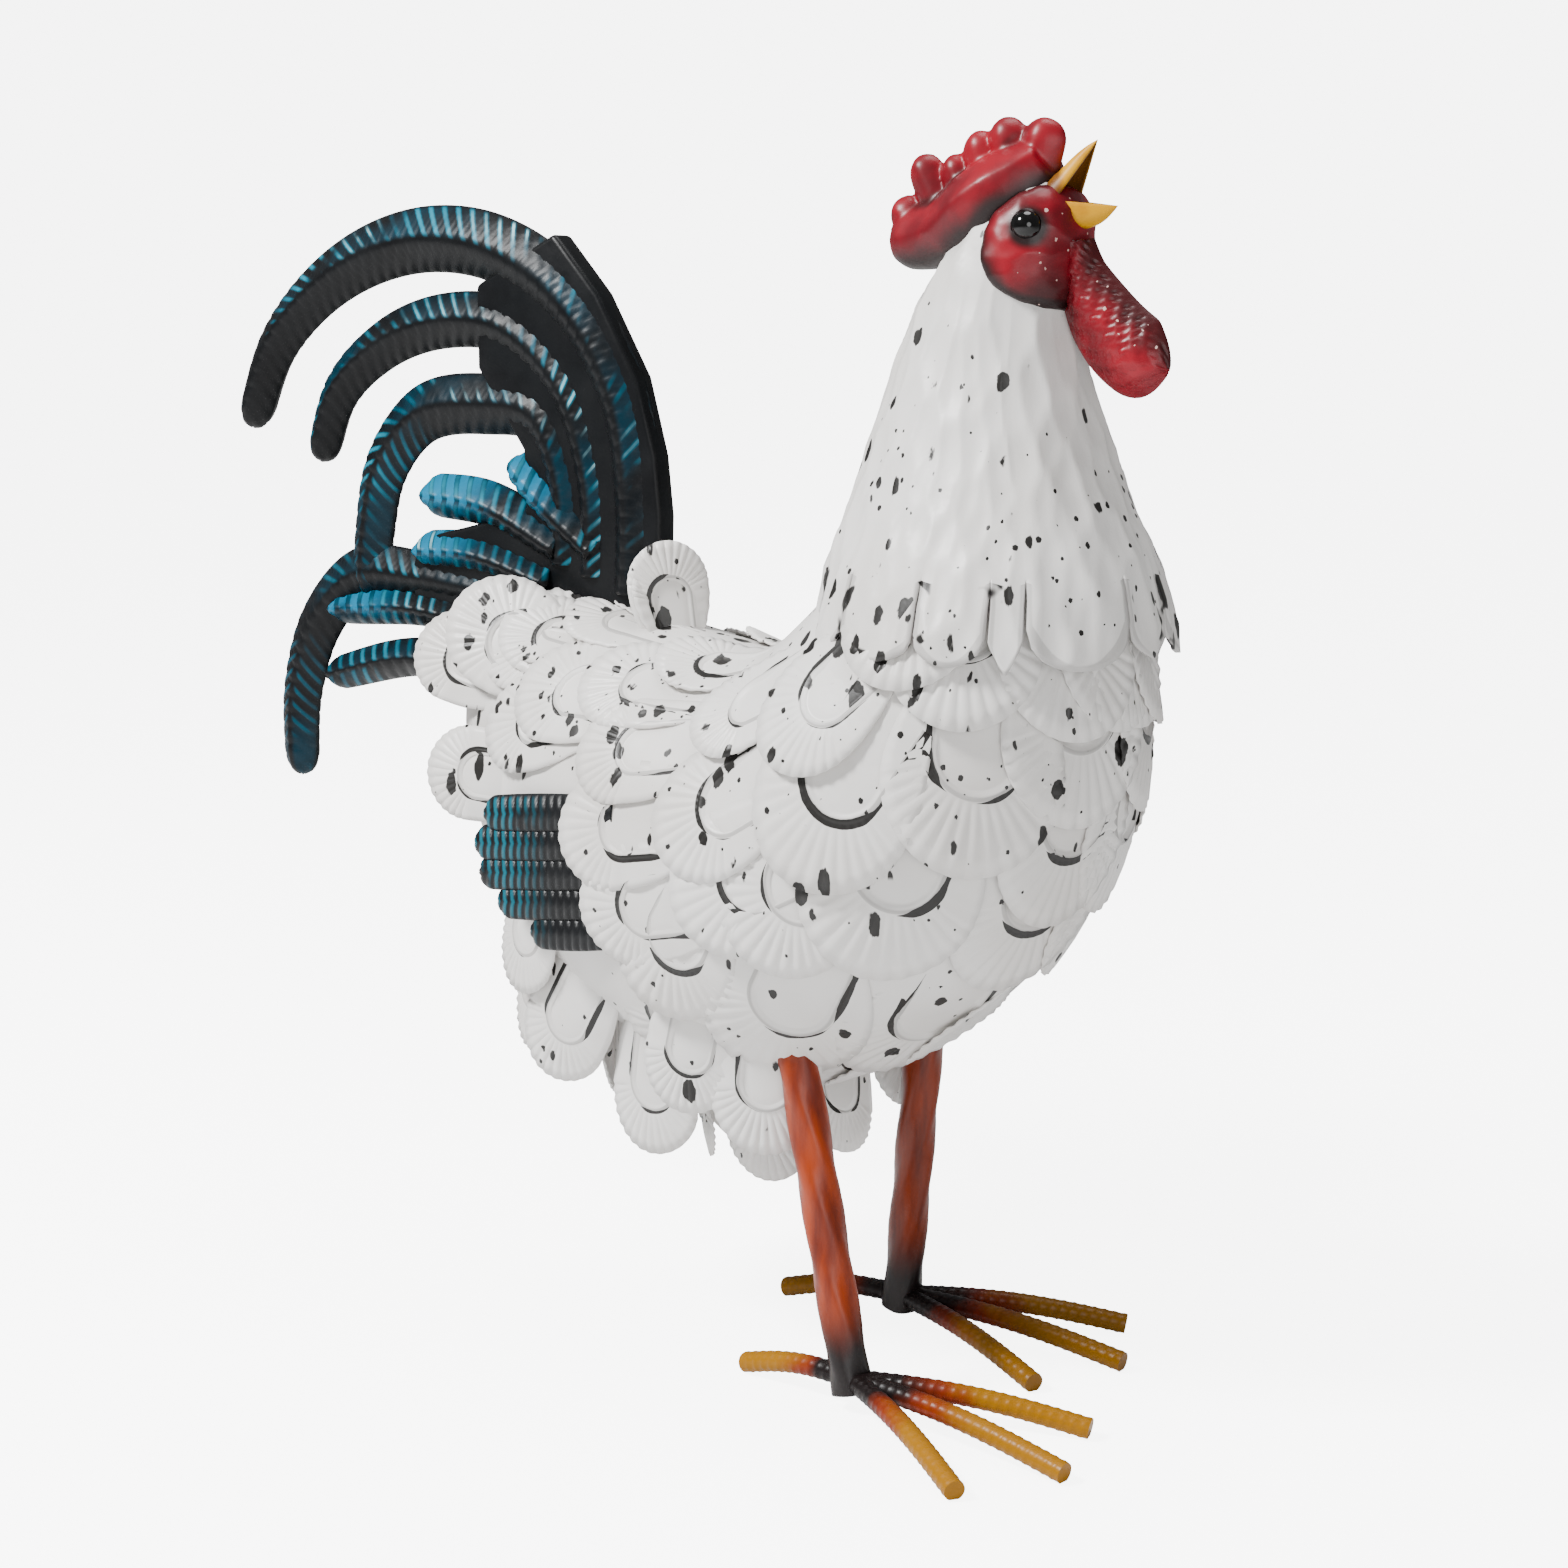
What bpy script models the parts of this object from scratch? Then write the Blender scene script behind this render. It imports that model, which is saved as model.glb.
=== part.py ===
"""Sheet-metal rooster garden statue, standing on rod toes.

Metres, +Z up, beak towards +X, the bird's left side towards +Y.
The upper half (body, neck, head and tail) is drawn in its own frame: x is measured
from the middle of the stance and z from the hips, HIP_HEIGHT above the ground.
"""
import math
from collections import namedtuple

import bmesh
import bpy
import numpy as np
from mathutils import Vector

# Fits and sheet
GAP = 0.0003
SHEET = 0.0018
FLAT_ANGLE = 4.0

# Stance, legs and toes
HIP_HEIGHT = 0.095
STANCE_X = 0.112
STANCE_WIDTH = 0.090
STRIDE = 0.020
HIP_SPREAD = 0.004
HIP_X = -0.007
HIP_RISE = 0.026
LEG_SIDE = 0.0138
LEG_INSERT = 0.058
LEG_FOOT = 0.0065
LEG_TWIST = math.radians(384)
LEG_STATIONS = 15
ROD_RADIUS = 0.0040
TOE_ROOT_HEIGHT = 0.0115
TOE_FLAT = 0.0004
FRONT_TOE = 0.103
SIDE_TOE = 0.093
BACK_TOE = 0.057
TOE_SPREAD = math.radians(25)
TOE_OUT_RIGHT = math.radians(6.5)
TOE_OUT_LEFT = math.radians(3.5)
TOE_ARCH = 0.0045
TOE_SHARES = (0.0, 0.28, 0.56, 0.84, 1.0)

# Body shell: a bent egg whose ring sections all pass through one pivot line
PIVOT_X = -0.100
PIVOT_Z = 0.275
# Columns: ring angle in degrees, inner radius, outer radius, half width
BODY_RINGS = (
    (8, 0.116, 0.192, 0.036),
    (20, 0.109, 0.219, 0.053),
    (40, 0.103, 0.251, 0.073),
    (60, 0.099, 0.263, 0.078),
    (80, 0.084, 0.261, 0.075),
    (100, 0.080, 0.236, 0.062),
    (118, 0.086, 0.196, 0.043),
    (132, 0.101, 0.158, 0.024),
    (138, 0.116, 0.142, 0.011),
)
BODY_RING_STEP = 12
BODY_SIDES = 16

# Neck cone and head: columns are height above the hips, middle x, half length, half width
NECK_RINGS = (
    (0.205, 0.0505, 0.0672, 0.0650),
    (0.230, 0.0500, 0.0622, 0.0565),
    (0.245, 0.0491, 0.0563, 0.0500),
    (0.265, 0.0482, 0.0483, 0.0425),
    (0.285, 0.0478, 0.0412, 0.0362),
    (0.305, 0.0487, 0.0345, 0.0304),
    (0.325, 0.0505, 0.0286, 0.0252),
    (0.337, 0.0545, 0.0245, 0.0226),
    (0.346, 0.0595, 0.0200, 0.0196),
    (0.355, 0.0640, 0.0156, 0.0162),
    (0.362, 0.0672, 0.0112, 0.0125),
    (0.367, 0.0690, 0.0075, 0.0085),
)
NECK_SIDES = 16
NECK_FLOOR = 0.2200
# The hem is cut into tongues: share of the pitch, height above the hips
TONGUE = ((0.0, 0.2140), (0.13, 0.2015), (0.5, 0.1955), (0.87, 0.2015))
HEM_FLARE = 0.35

# Face mask, wrapped round the front of the head just below the crown
FACE_HALF_ANGLE = 92
FACE_WIDENING = 0.40
FACE_HALF_HEIGHT = 0.0222
FACE_TOP_DROP = 0.0008
FACE_HEIGHT = NECK_RINGS[-1][0] - FACE_TOP_DROP - FACE_HALF_HEIGHT
FACE_THICKNESS = 0.0082
EYE_ANGLE = 56
EYE_RISE = 0.0075
EYE_RADIUS = 0.0057
EYE_SINK = 0.0042

# Beak, in the middle plane; heights are from the middle of the face
BEAK_CORNER = (0.0812, 0.0078, 0.0175)
BEAK_RIDGE = (0.0775, 0.0270)
BEAK_KEEL = (0.0865, 0.0060)
UPPER_TIP = (0.0922, 0.0375)
LOWER_TIP = (0.1010, 0.0143)
BEAK_SHEET = 0.0014
BEAK_HOLLOW = 0.25
BEAK_INSERT = 0.0045

# A feather is a spoon-shaped plate: share of its length, share of its half width
VANE = ((0.0, 0.58), (0.48, 0.98), (0.82, 0.80))
VANE_CUP = 0.129
NARROW_HALF = 0.0215
TIP_LIFT = 0.0050
ROOT_SINK = 0.0016
STAGGER = 0.0007

# Rows of body feathers on the right side, mirrored to the left. Each triple holds the
# first, middle and last feather's value; angles in degrees, tips on the body shell
Row = namedtuple("Row", "name count station around heading length width")
ROWS = (
    Row("cape", 6, (27.5, 39, 61), (24, 102, 162), (2, 24, 90),
        (0.060, 0.052, 0.040), (0.053, 0.047, 0.032)),
    Row("breast", 4, (35, 47, 66), (19, 62, 106), (3, 18, 48),
        (0.064, 0.062, 0.056), (0.055, 0.056, 0.046)),
    Row("flank", 4, (49, 55, 67), (15, 50, 84), (8, 26, 62),
        (0.064, 0.066, 0.060), (0.056, 0.060, 0.046)),
    Row("belly", 3, (70, 73, 80), (12, 36, 64), (8, 22, 42),
        (0.066, 0.064, 0.056), (0.062, 0.058, 0.044)),
    Row("wing cover", 3, (86, 90, 88), (80, 98, 120), (82, 80, 80),
        (0.058, 0.062, 0.056), (0.042, 0.042, 0.040)),
    Row("saddle", 3, (74, 88, 101), (164, 152, 142), (88, 92, 98),
        (0.040, 0.042, 0.044), (0.030, 0.032, 0.034)),
    Row("back", 3, (84, 97, 110), (138, 130, 118), (84, 86, 88),
        (0.044, 0.046, 0.048), (0.032, 0.034, 0.036)),
    Row("rump", 2, (124, 128, 132), (112, 103, 94), (92, 92, 90),
        (0.052, 0.052, 0.052), (0.036, 0.036, 0.036)),
)
# Hanging feathers: the root is on the shell and the plate hangs free from it
HANGING = (
    Row("thigh", 2, (66, 70, 74), (44, 47, 50), (8, 13, 18),
        (0.058, 0.058, 0.056), (0.036, 0.034, 0.032)),
    Row("vent side", 3, (82, 92, 103), (48, 46, 50), (4, 10, 12),
        (0.052, 0.058, 0.056), (0.034, 0.036, 0.036)),
    Row("vent middle", 3, (84, 97, 109), (14, 13, 14), (0, 12, 20),
        (0.054, 0.056, 0.050), (0.026, 0.034, 0.032)),
    Row("tail cover", 2, (114, 120, 126), (130, 128, 126), (122, 114, 106),
        (0.042, 0.045, 0.048), (0.036, 0.036, 0.036)),
)
HANG_SINK = 0.012

# Dark flight feathers that come out from under the wing covers, top one first
FLIGHT_COUNT = 5
FLIGHT_ROOT = (-0.074, -0.0715, 0.1310)
FLIGHT_PITCH = 0.0118
FLIGHT_LENGTH = 0.078
FLIGHT_LONGEST = 1.2
FLIGHT_SHORTENING = 0.0040
FLIGHT_WIDTH = 0.0165
FLIGHT_HEADING = 83
FLIGHT_TOE_IN = 0.06

# Feather that stands up in front of the tail, turned a little to the right
PLUME_ROOT = (-0.098, -0.004, 0.186)
PLUME_HEADING = 172
PLUME_FACING = -38
PLUME_LENGTH = 0.043
PLUME_WIDTH = 0.033

# Tail blades in the middle plane: path of (x, z) points, widest half width, half
# thickness, then the widths at root and tip as shares and where it is widest
Blade = namedtuple("Blade", "path half_width half_thickness root swell tip",
                   defaults=(0.85, 0.45, 0.62))
TAIL_BLADES = (
    Blade(((-0.122, 0.206), (-0.121, 0.240), (-0.128, 0.284), (-0.146, 0.313),
           (-0.170, 0.333), (-0.200, 0.345), (-0.232, 0.348), (-0.266, 0.342),
           (-0.300, 0.326), (-0.326, 0.303), (-0.3445, 0.266)), 0.0145, 0.0110),
    Blade(((-0.142, 0.212), (-0.143, 0.250), (-0.158, 0.289), (-0.190, 0.312),
           (-0.226, 0.314), (-0.262, 0.303), (-0.288, 0.283), (-0.3015, 0.2525)),
          0.0120, 0.0095),
    Blade(((-0.158, 0.216), (-0.158, 0.248), (-0.172, 0.276), (-0.203, 0.280),
           (-0.240, 0.274), (-0.262, 0.251), (-0.270, 0.222), (-0.273, 0.195)),
          0.0130, 0.0095),
    Blade(((-0.205, 0.202), (-0.240, 0.205), (-0.280, 0.203), (-0.305, 0.180),
           (-0.317, 0.150), (-0.319, 0.111)), 0.0120, 0.0085),
    Blade(((-0.140, 0.222), (-0.165, 0.240), (-0.186, 0.258)), 0.0100, 0.0120),
    Blade(((-0.160, 0.222), (-0.200, 0.238), (-0.238, 0.241)), 0.0100, 0.0115),
    Blade(((-0.165, 0.208), (-0.205, 0.217), (-0.242, 0.217)), 0.0090, 0.0125),
    Blade(((-0.208, 0.189), (-0.245, 0.192), (-0.294, 0.188)), 0.0085, 0.0120),
    Blade(((-0.208, 0.170), (-0.245, 0.170), (-0.298, 0.158)), 0.0085, 0.0105),
)
TAIL_STEP = 0.033
TAIL_WEB = ((-0.105, 0.150), (-0.1065, 0.205), (-0.1055, 0.238), (-0.108, 0.262),
            (-0.117, 0.293), (-0.137, 0.326), (-0.160, 0.350), (-0.185, 0.338),
            (-0.203, 0.329), (-0.203, 0.295), (-0.178, 0.262), (-0.177, 0.238),
            (-0.205, 0.230), (-0.238, 0.222), (-0.245, 0.205), (-0.238, 0.186),
            (-0.222, 0.164), (-0.170, 0.150))
WEB_HALF_THICKNESS = 0.0060

# Comb: a thick fold over the crown, from the rear forwards, with upright points.
# Columns: x, height above the hips, reach up, reach down, half width
COMB_RIDGE = (
    (0.0062, 0.3470, 0.0065, 0.0070, 0.0055),
    (0.0120, 0.3475, 0.0100, 0.0105, 0.0090),
    (0.0200, 0.3485, 0.0115, 0.0120, 0.0110),
    (0.0300, 0.3510, 0.0120, 0.0135, 0.0150),
    (0.0420, 0.3590, 0.0130, 0.0180, 0.0195),
    (0.0540, 0.3670, 0.0120, 0.0160, 0.0190),
    (0.0640, 0.3725, 0.0095, 0.0115, 0.0130),
    (0.0705, 0.3770, 0.0060, 0.0050, 0.0070),
)
# Section of the fold: share of the reach up or down, share of the half width
COMB_SECTION = ((1.0, -0.35), (1.0, 0.35), (0.25, 1.0), (-1.0, 0.9), (-1.0, -0.9), (0.25, -1.0))
COMB_POINTS = (
    Blade(((0.0190, 0.3470), (0.0110, 0.3555), (0.0062, 0.3600)), 0.0058, 0.0050, 1.2, 0.5, 0.9),
    Blade(((0.0280, 0.3550), (0.0210, 0.3670), (0.0162, 0.3764)), 0.0058, 0.0052, 1.2, 0.5, 0.8),
    Blade(((0.0370, 0.3600), (0.0332, 0.3700), (0.0307, 0.3764)), 0.0062, 0.0052, 1.2, 0.5, 0.8),
    Blade(((0.0490, 0.3660), (0.0438, 0.3765), (0.0415, 0.3848)), 0.0067, 0.0055, 1.2, 0.5, 0.8),
    Blade(((0.0590, 0.3700), (0.0550, 0.3810), (0.0530, 0.3894)), 0.0071, 0.0058, 1.2, 0.5, 0.8),
    Blade(((0.0670, 0.3735), (0.0695, 0.3815), (0.0702, 0.3889)), 0.0075, 0.0062, 1.1, 0.5, 1.0),
)
# Wattle that hangs below the face; heights are from the middle of the face
WATTLE = Blade(((0.0850, 0.0020), (0.0872, -0.0100), (0.0945, -0.0235), (0.1035, -0.0335),
                (0.1125, -0.0395), (0.1225, -0.0435)), 0.0160, 0.0085, 0.40, 0.72, 0.88)

COMB_STEP = 0.010
BLADE_SIDES = 6
SLIM_BLADE = 0.0101
SLIM_SIDES = 4


# Materials

def enamel(name, colour, roughness, metallic):
    material = bpy.data.materials.new(name)
    material.use_nodes = True
    shader = material.node_tree.nodes["Principled BSDF"]
    shader.inputs["Base Color"].default_value = (*colour, 1.0)
    shader.inputs["Roughness"].default_value = roughness
    shader.inputs["Metallic"].default_value = metallic
    return material


def make_materials():
    return {
        "white": enamel("white_enamel", (0.80, 0.79, 0.77), 0.40, 0.0),
        "red": enamel("red_enamel", (0.45, 0.02, 0.04), 0.35, 0.1),
        "teal": enamel("teal_black_enamel", (0.02, 0.10, 0.13), 0.35, 0.4),
        "yellow": enamel("yellow_enamel", (0.80, 0.52, 0.03), 0.40, 0.1),
        "eye": enamel("black_gloss", (0.01, 0.01, 0.01), 0.08, 0.0),
        "orange": enamel("orange_brown_enamel", (0.42, 0.09, 0.02), 0.35, 0.2),
    }


# Objects and cuts

def add_object(name, mesh_source, collection, material=None):
    mesh = bpy.data.meshes.new(name)
    mesh_source.to_mesh(mesh)
    mesh_source.free()
    thing = bpy.data.objects.new(name, mesh)
    collection.objects.link(thing)
    if material is not None:
        mesh.materials.append(material)
    return thing


def boolean(target, other, operation, own_crossings=False):
    """Cut or join another object and keep the result as the target's own mesh."""
    modifier = target.modifiers.new(other.name, "BOOLEAN")
    modifier.operation = operation
    modifier.object = other
    modifier.solver = "EXACT"
    modifier.use_self = own_crossings
    graph = bpy.context.evaluated_depsgraph_get()
    result = bpy.data.meshes.new_from_object(target.evaluated_get(graph))
    target.modifiers.clear()
    target.data = result


def keep_outer_body(thing):
    """Fill pockets that are closed in between crossing plates."""
    bm = bmesh.new()
    bm.from_mesh(thing.data)
    bmesh.ops.remove_doubles(bm, verts=bm.verts, dist=1e-6)
    bmesh.ops.dissolve_degenerate(bm, dist=1e-6, edges=bm.edges)
    islands = []
    unseen = set(bm.faces)
    while unseen:
        stack = [unseen.pop()]
        island = []
        while stack:
            face = stack.pop()
            island.append(face)
            for edge in face.edges:
                for other in edge.link_faces:
                    if other in unseen:
                        unseen.remove(other)
                        stack.append(other)
        islands.append(island)
    islands.sort(key=len)
    for island in islands[:-1]:
        bmesh.ops.delete(bm, geom=island, context="FACES")
    loose = [vert for vert in bm.verts if not vert.link_faces]
    bmesh.ops.delete(bm, geom=loose, context="VERTS")
    bm.to_mesh(thing.data)
    bm.free()


def fuse(thing, collection):
    """Turn crossing plates in one mesh into a single closed body."""
    nothing = add_object("nothing", bmesh.new(), collection)
    boolean(thing, nothing, "UNION", own_crossings=True)
    bpy.data.objects.remove(nothing)
    keep_outer_body(thing)
    return thing


def merge_flat_faces(thing, degrees):
    """Join nearly coplanar neighbours to save triangles, and leave any spot that would
    give an edge with more than two faces as it was."""
    kept = set()
    while True:
        bm = bmesh.new()
        bm.from_mesh(thing.data)
        verts = [vert for vert in bm.verts if vert.co.to_tuple(7) not in kept]
        free = set(verts)
        edges = [edge for edge in bm.edges if edge.verts[0] in free and edge.verts[1] in free]
        bmesh.ops.dissolve_limit(bm, angle_limit=math.radians(degrees), verts=verts, edges=edges)
        bmesh.ops.triangulate(bm, faces=bm.faces)
        bad = {vert.co.to_tuple(7) for edge in bm.edges if len(edge.link_faces) != 2
               for vert in edge.verts}
        if not bad or bad <= kept:
            bm.to_mesh(thing.data)
            bm.free()
            return
        kept |= bad
        bm.free()


def shade(thing, degrees=35):
    thing.data.shade_smooth()
    thing.data.set_sharp_from_angle(angle=math.radians(degrees))


# Curves and frames

def smooth(at, stations, values):
    """Cubic curve through the stations, with slopes taken from their neighbours."""
    stations = np.asarray(stations, float)
    values = np.asarray(values, float)
    slopes = np.gradient(values, stations)
    i = int(np.clip(np.searchsorted(stations, at) - 1, 0, len(stations) - 2))
    span = stations[i + 1] - stations[i]
    t = (at - stations[i]) / span
    start = (1 + 2 * t) * (1 - t) ** 2 * values[i] + t * (1 - t) ** 2 * span * slopes[i]
    end = t * t * (3 - 2 * t) * values[i + 1] + t * t * (t - 1) * span * slopes[i + 1]
    return start + end


def triple(values, share):
    """Value at a share of the way through first, middle and last."""
    first, middle, last = values
    bend = 2 * (first - 2 * middle + last)
    return first + (4 * middle - 3 * first - last) * share + bend * share * share


def body_skin(angle, around, lift=0.0):
    """Point on the body shell; around is 0 at the breast and 90 on the right side."""
    table = np.array(BODY_RINGS)
    inner = smooth(angle, table[:, 0], table[:, 1]) - lift
    outer = smooth(angle, table[:, 0], table[:, 2]) + lift
    half = smooth(angle, table[:, 0], table[:, 3]) + lift
    tilt = math.radians(angle)
    turn = math.radians(around)
    radius = (inner + outer) / 2 + (outer - inner) / 2 * math.cos(turn)
    return np.array((PIVOT_X + radius * math.cos(tilt), -half * math.sin(turn),
                     PIVOT_Z - radius * math.sin(tilt)))


def neck_skin(height, around, lift=0.0):
    """Point on the neck cone; around is 0 at the front and 90 on the right side."""
    table = np.array(NECK_RINGS)
    middle, length, width = (smooth(height, table[:, 0], table[:, k]) for k in (1, 2, 3))
    turn = math.radians(around)
    return np.array((middle + (length + lift) * math.cos(turn),
                     -(width + lift) * math.sin(turn), height))


def skin_frame(skin, u, v, step=0.25, u_scale=1.0):
    """Point, outward normal and the two derivatives of a skin."""
    point = skin(u, v)
    along = (skin(u + step * u_scale, v) - skin(u - step * u_scale, v)) / (2 * step * u_scale)
    round_ = (skin(u, v + step) - skin(u, v - step)) / (2 * step)
    normal = np.cross(round_, along)
    normal /= np.linalg.norm(normal)
    return point, normal, along, round_


def walk_back(skin, u, v, heading, length, stations, u_scale=1.0):
    """Frames of a path that ends at (u, v), runs along the skin and points to heading."""
    down = np.array((-math.sin(math.radians(heading)), 0.0, -math.cos(math.radians(heading))))
    frames = []
    previous = 1.0
    for share in reversed([*stations, 1.0]):
        travel = (previous - share) * length
        point, normal, along, round_ = skin_frame(skin, u, v, u_scale=u_scale)
        tangent = down - normal * down.dot(normal)
        tangent /= np.linalg.norm(tangent)
        if travel > 0:
            basis = np.stack((along, round_), axis=1)
            du, dv = np.linalg.lstsq(basis, tangent, rcond=None)[0] * travel
            u, v = u - du, v - dv
            point, normal, along, round_ = skin_frame(skin, u, v, u_scale=u_scale)
            tangent = down - normal * down.dot(normal)
            tangent /= np.linalg.norm(tangent)
        frames.append((share, point, normal, tangent))
        previous = share
    return frames[::-1]


# Meshes from rings

def face_outward(bm):
    bmesh.ops.recalc_face_normals(bm, faces=bm.faces)
    if bm.calc_volume(signed=True) < 0:
        bmesh.ops.reverse_faces(bm, faces=bm.faces)


def bridge(bm, near, far):
    """Band of faces between two rings of equal count."""
    for i in range(len(near)):
        j = (i + 1) % len(near)
        bm.faces.new((near[i], near[j], far[j], far[i]))


def loft(rings):
    """Closed skin over rings of equal count, with flat ends."""
    bm = bmesh.new()
    loops = [[bm.verts.new(point) for point in ring] for ring in rings]
    for near, far in zip(loops, loops[1:]):
        bridge(bm, near, far)
    bm.faces.new(loops[0][::-1])
    bm.faces.new(loops[-1])
    face_outward(bm)
    return bm


def add_plate(bm, frames, half_width, thickness, mirrored=False, across=(-1, 0, 1)):
    """A cupped, spoon-shaped plate; the last frame is its rounded tip."""
    flip = -1.0 if mirrored else 1.0
    top = []
    bottom = []
    for (share, point, normal, tangent), (_, width) in zip(frames, VANE):
        side = np.cross(normal, tangent)
        depth = thickness(share)
        upper = []
        lower = []
        for v in across:
            reach = v * width * half_width
            spot = point + side * reach - normal * VANE_CUP * reach * reach / NARROW_HALF
            under = spot - normal * depth
            upper.append(bm.verts.new((spot[0], flip * spot[1], spot[2])))
            lower.append(bm.verts.new((under[0], flip * under[1], under[2])))
        top.append(upper)
        bottom.append(lower)
    share, point, normal, _ = frames[-1]
    under = point - normal * thickness(share)
    apex_top = bm.verts.new((point[0], flip * point[1], point[2]))
    apex_bottom = bm.verts.new((under[0], flip * under[1], under[2]))
    last = len(across) - 1
    faces = []
    for row in range(len(top) - 1):
        for column in range(last):
            faces.append((top[row][column], top[row + 1][column],
                          top[row + 1][column + 1], top[row][column + 1]))
            faces.append((bottom[row][column], bottom[row][column + 1],
                          bottom[row + 1][column + 1], bottom[row + 1][column]))
        faces.append((top[row][0], bottom[row][0], bottom[row + 1][0], top[row + 1][0]))
        faces.append((top[row][last], top[row + 1][last], bottom[row + 1][last], bottom[row][last]))
    for column in range(last):
        faces.append((top[-1][column], apex_top, top[-1][column + 1]))
        faces.append((bottom[-1][column], bottom[-1][column + 1], apex_bottom))
        faces.append((top[0][column], top[0][column + 1],
                      bottom[0][column + 1], bottom[0][column]))
    faces.append((top[-1][0], bottom[-1][0], apex_bottom, apex_top))
    faces.append((top[-1][last], apex_top, apex_bottom, bottom[-1][last]))
    made = [bm.faces.new(face) for face in faces]
    bmesh.ops.recalc_face_normals(bm, faces=made)


def seated(frames, extra=0.0):
    """Lift a plate's frames off the skin, more towards the tip."""
    return [(share, point + normal * (share * TIP_LIFT - ROOT_SINK + extra), normal, tangent)
            for share, point, normal, tangent in frames]


def blade_width(shape, share):
    """Share of the widest half width at a share of the blade's length."""
    if share < shape.swell:
        return 1 - (1 - shape.root) * ((shape.swell - share) / shape.swell) ** 2
    return 1 - (1 - shape.tip) * ((share - shape.swell) / (1 - shape.swell)) ** 2


def blade(bm, shape, step, clearance=0.0):
    """A flattened, round-ended feather swept along a path in the middle plane."""
    path = np.array(shape.path)
    marks = np.concatenate(([0.0], np.cumsum(np.linalg.norm(np.diff(path, axis=0), axis=1))))
    length = marks[-1]
    end = 0.85 * shape.half_width
    sections = max(2, round((length - end) / step))
    stops = [*np.linspace(0.0, length - end, sections + 1), length - 0.35 * end, length]
    centre = np.array([(smooth(s, marks, path[:, 0]), smooth(s, marks, path[:, 1])) for s in stops])
    ahead = np.gradient(centre, axis=0)
    ahead /= np.linalg.norm(ahead, axis=1)[:, None]
    sides = BLADE_SIDES if shape.half_width > SLIM_BLADE else SLIM_SIDES
    rings = []
    for stop, point, forward in zip(stops, centre, ahead):
        past = max(0.0, 1 - (length - stop) / end)
        closing = max(0.4, math.sqrt(1 - past * past))
        half = shape.half_width * blade_width(shape, stop / length) * closing + clearance
        thick = shape.half_thickness * closing + clearance
        normal = np.array((-forward[1], forward[0]))
        ring = []
        for i in range(sides):
            turn = 2 * math.pi * i / sides
            spot = point + normal * half * math.cos(turn)
            ring.append((spot[0], thick * math.sin(turn), spot[1]))
        rings.append(ring)
    if clearance:
        stretch = ahead[-1] * clearance
        rings[-1] = [(x + stretch[0], y, z + stretch[1]) for x, y, z in rings[-1]]
    part = loft(rings)
    mesh = bpy.data.meshes.new("blade")
    part.to_mesh(mesh)
    part.free()
    bm.from_mesh(mesh)
    bpy.data.meshes.remove(mesh)


# Sub-parts of the upper half

def body_rings(lift=0.0):
    first, last = BODY_RINGS[0][0], BODY_RINGS[-1][0]
    angles = np.linspace(first, last, int((last - first) / BODY_RING_STEP) + 1)
    rings = []
    for angle in angles:
        rings.append([body_skin(angle, 360 * i / BODY_SIDES, lift) for i in range(BODY_SIDES)])
    return rings


def feather_coat():
    """All body feathers of both sides, crossing each other."""
    bm = bmesh.new()
    stations = [share for share, _ in VANE]
    for row in ROWS:
        for i in range(row.count):
            share = i / max(1, row.count - 1)
            frames = walk_back(body_skin, triple(row.station, share), triple(row.around, share),
                               triple(row.heading, share), triple(row.length, share), stations)
            frames = seated(frames, STAGGER * (i % 2))
            half = triple(row.width, share) / 2
            for mirrored in (False, True):
                add_plate(bm, frames, half,
                          lambda s, e=STAGGER * (i % 2): SHEET + max(0.0, s * TIP_LIFT + e),
                          mirrored, (-1, 0, 1) if half > NARROW_HALF else (-1, 1))
    for row in HANGING:
        for i in range(row.count):
            share = i / max(1, row.count - 1)
            frames = hanging_frames(row, share, stations)
            half = triple(row.width, share) / 2
            for mirrored in (False, True):
                add_plate(bm, frames, half, lambda s: SHEET, mirrored, across=(-1, 1))
    add_plate(bm, plume_frames(stations), PLUME_WIDTH / 2, lambda s: SHEET, across=(-1, 1))
    return bm


def hanging_frames(row, share, stations):
    """Straight plate that starts inside the shell and points to its heading."""
    root, normal, _, _ = skin_frame(body_skin, triple(row.station, share), triple(row.around, share))
    heading = math.radians(triple(row.heading, share))
    tangent = np.array((-math.sin(heading), 0.0, -math.cos(heading)))
    outward = normal - tangent * normal.dot(tangent)
    outward /= np.linalg.norm(outward)
    start = root - tangent * HANG_SINK
    length = triple(row.length, share)
    return [(s, start + tangent * length * s, outward, tangent) for s in [*stations, 1.0]]


def plume_frames(stations):
    heading = math.radians(PLUME_HEADING)
    facing = math.radians(PLUME_FACING)
    tangent = np.array((-math.sin(heading), 0.0, -math.cos(heading)))
    outward = np.array((math.cos(facing), math.sin(facing), 0.0))
    outward -= tangent * outward.dot(tangent)
    outward /= np.linalg.norm(outward)
    root = np.array(PLUME_ROOT)
    return [(s, root + tangent * PLUME_LENGTH * s, outward, tangent) for s in [*stations, 1.0]]


def hem_point(height, around, lift):
    """Point on the neck skin, carried on below its lowest ring with a flare."""
    lowest = NECK_RINGS[0][0]
    point = neck_skin(max(height, lowest), around, lift)
    outward = point - np.array((NECK_RINGS[0][1], 0.0, point[2]))
    outward /= np.linalg.norm(outward)
    drop = max(0.0, lowest - height)
    return point + outward * HEM_FLARE * drop - np.array((0.0, 0.0, drop))


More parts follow.
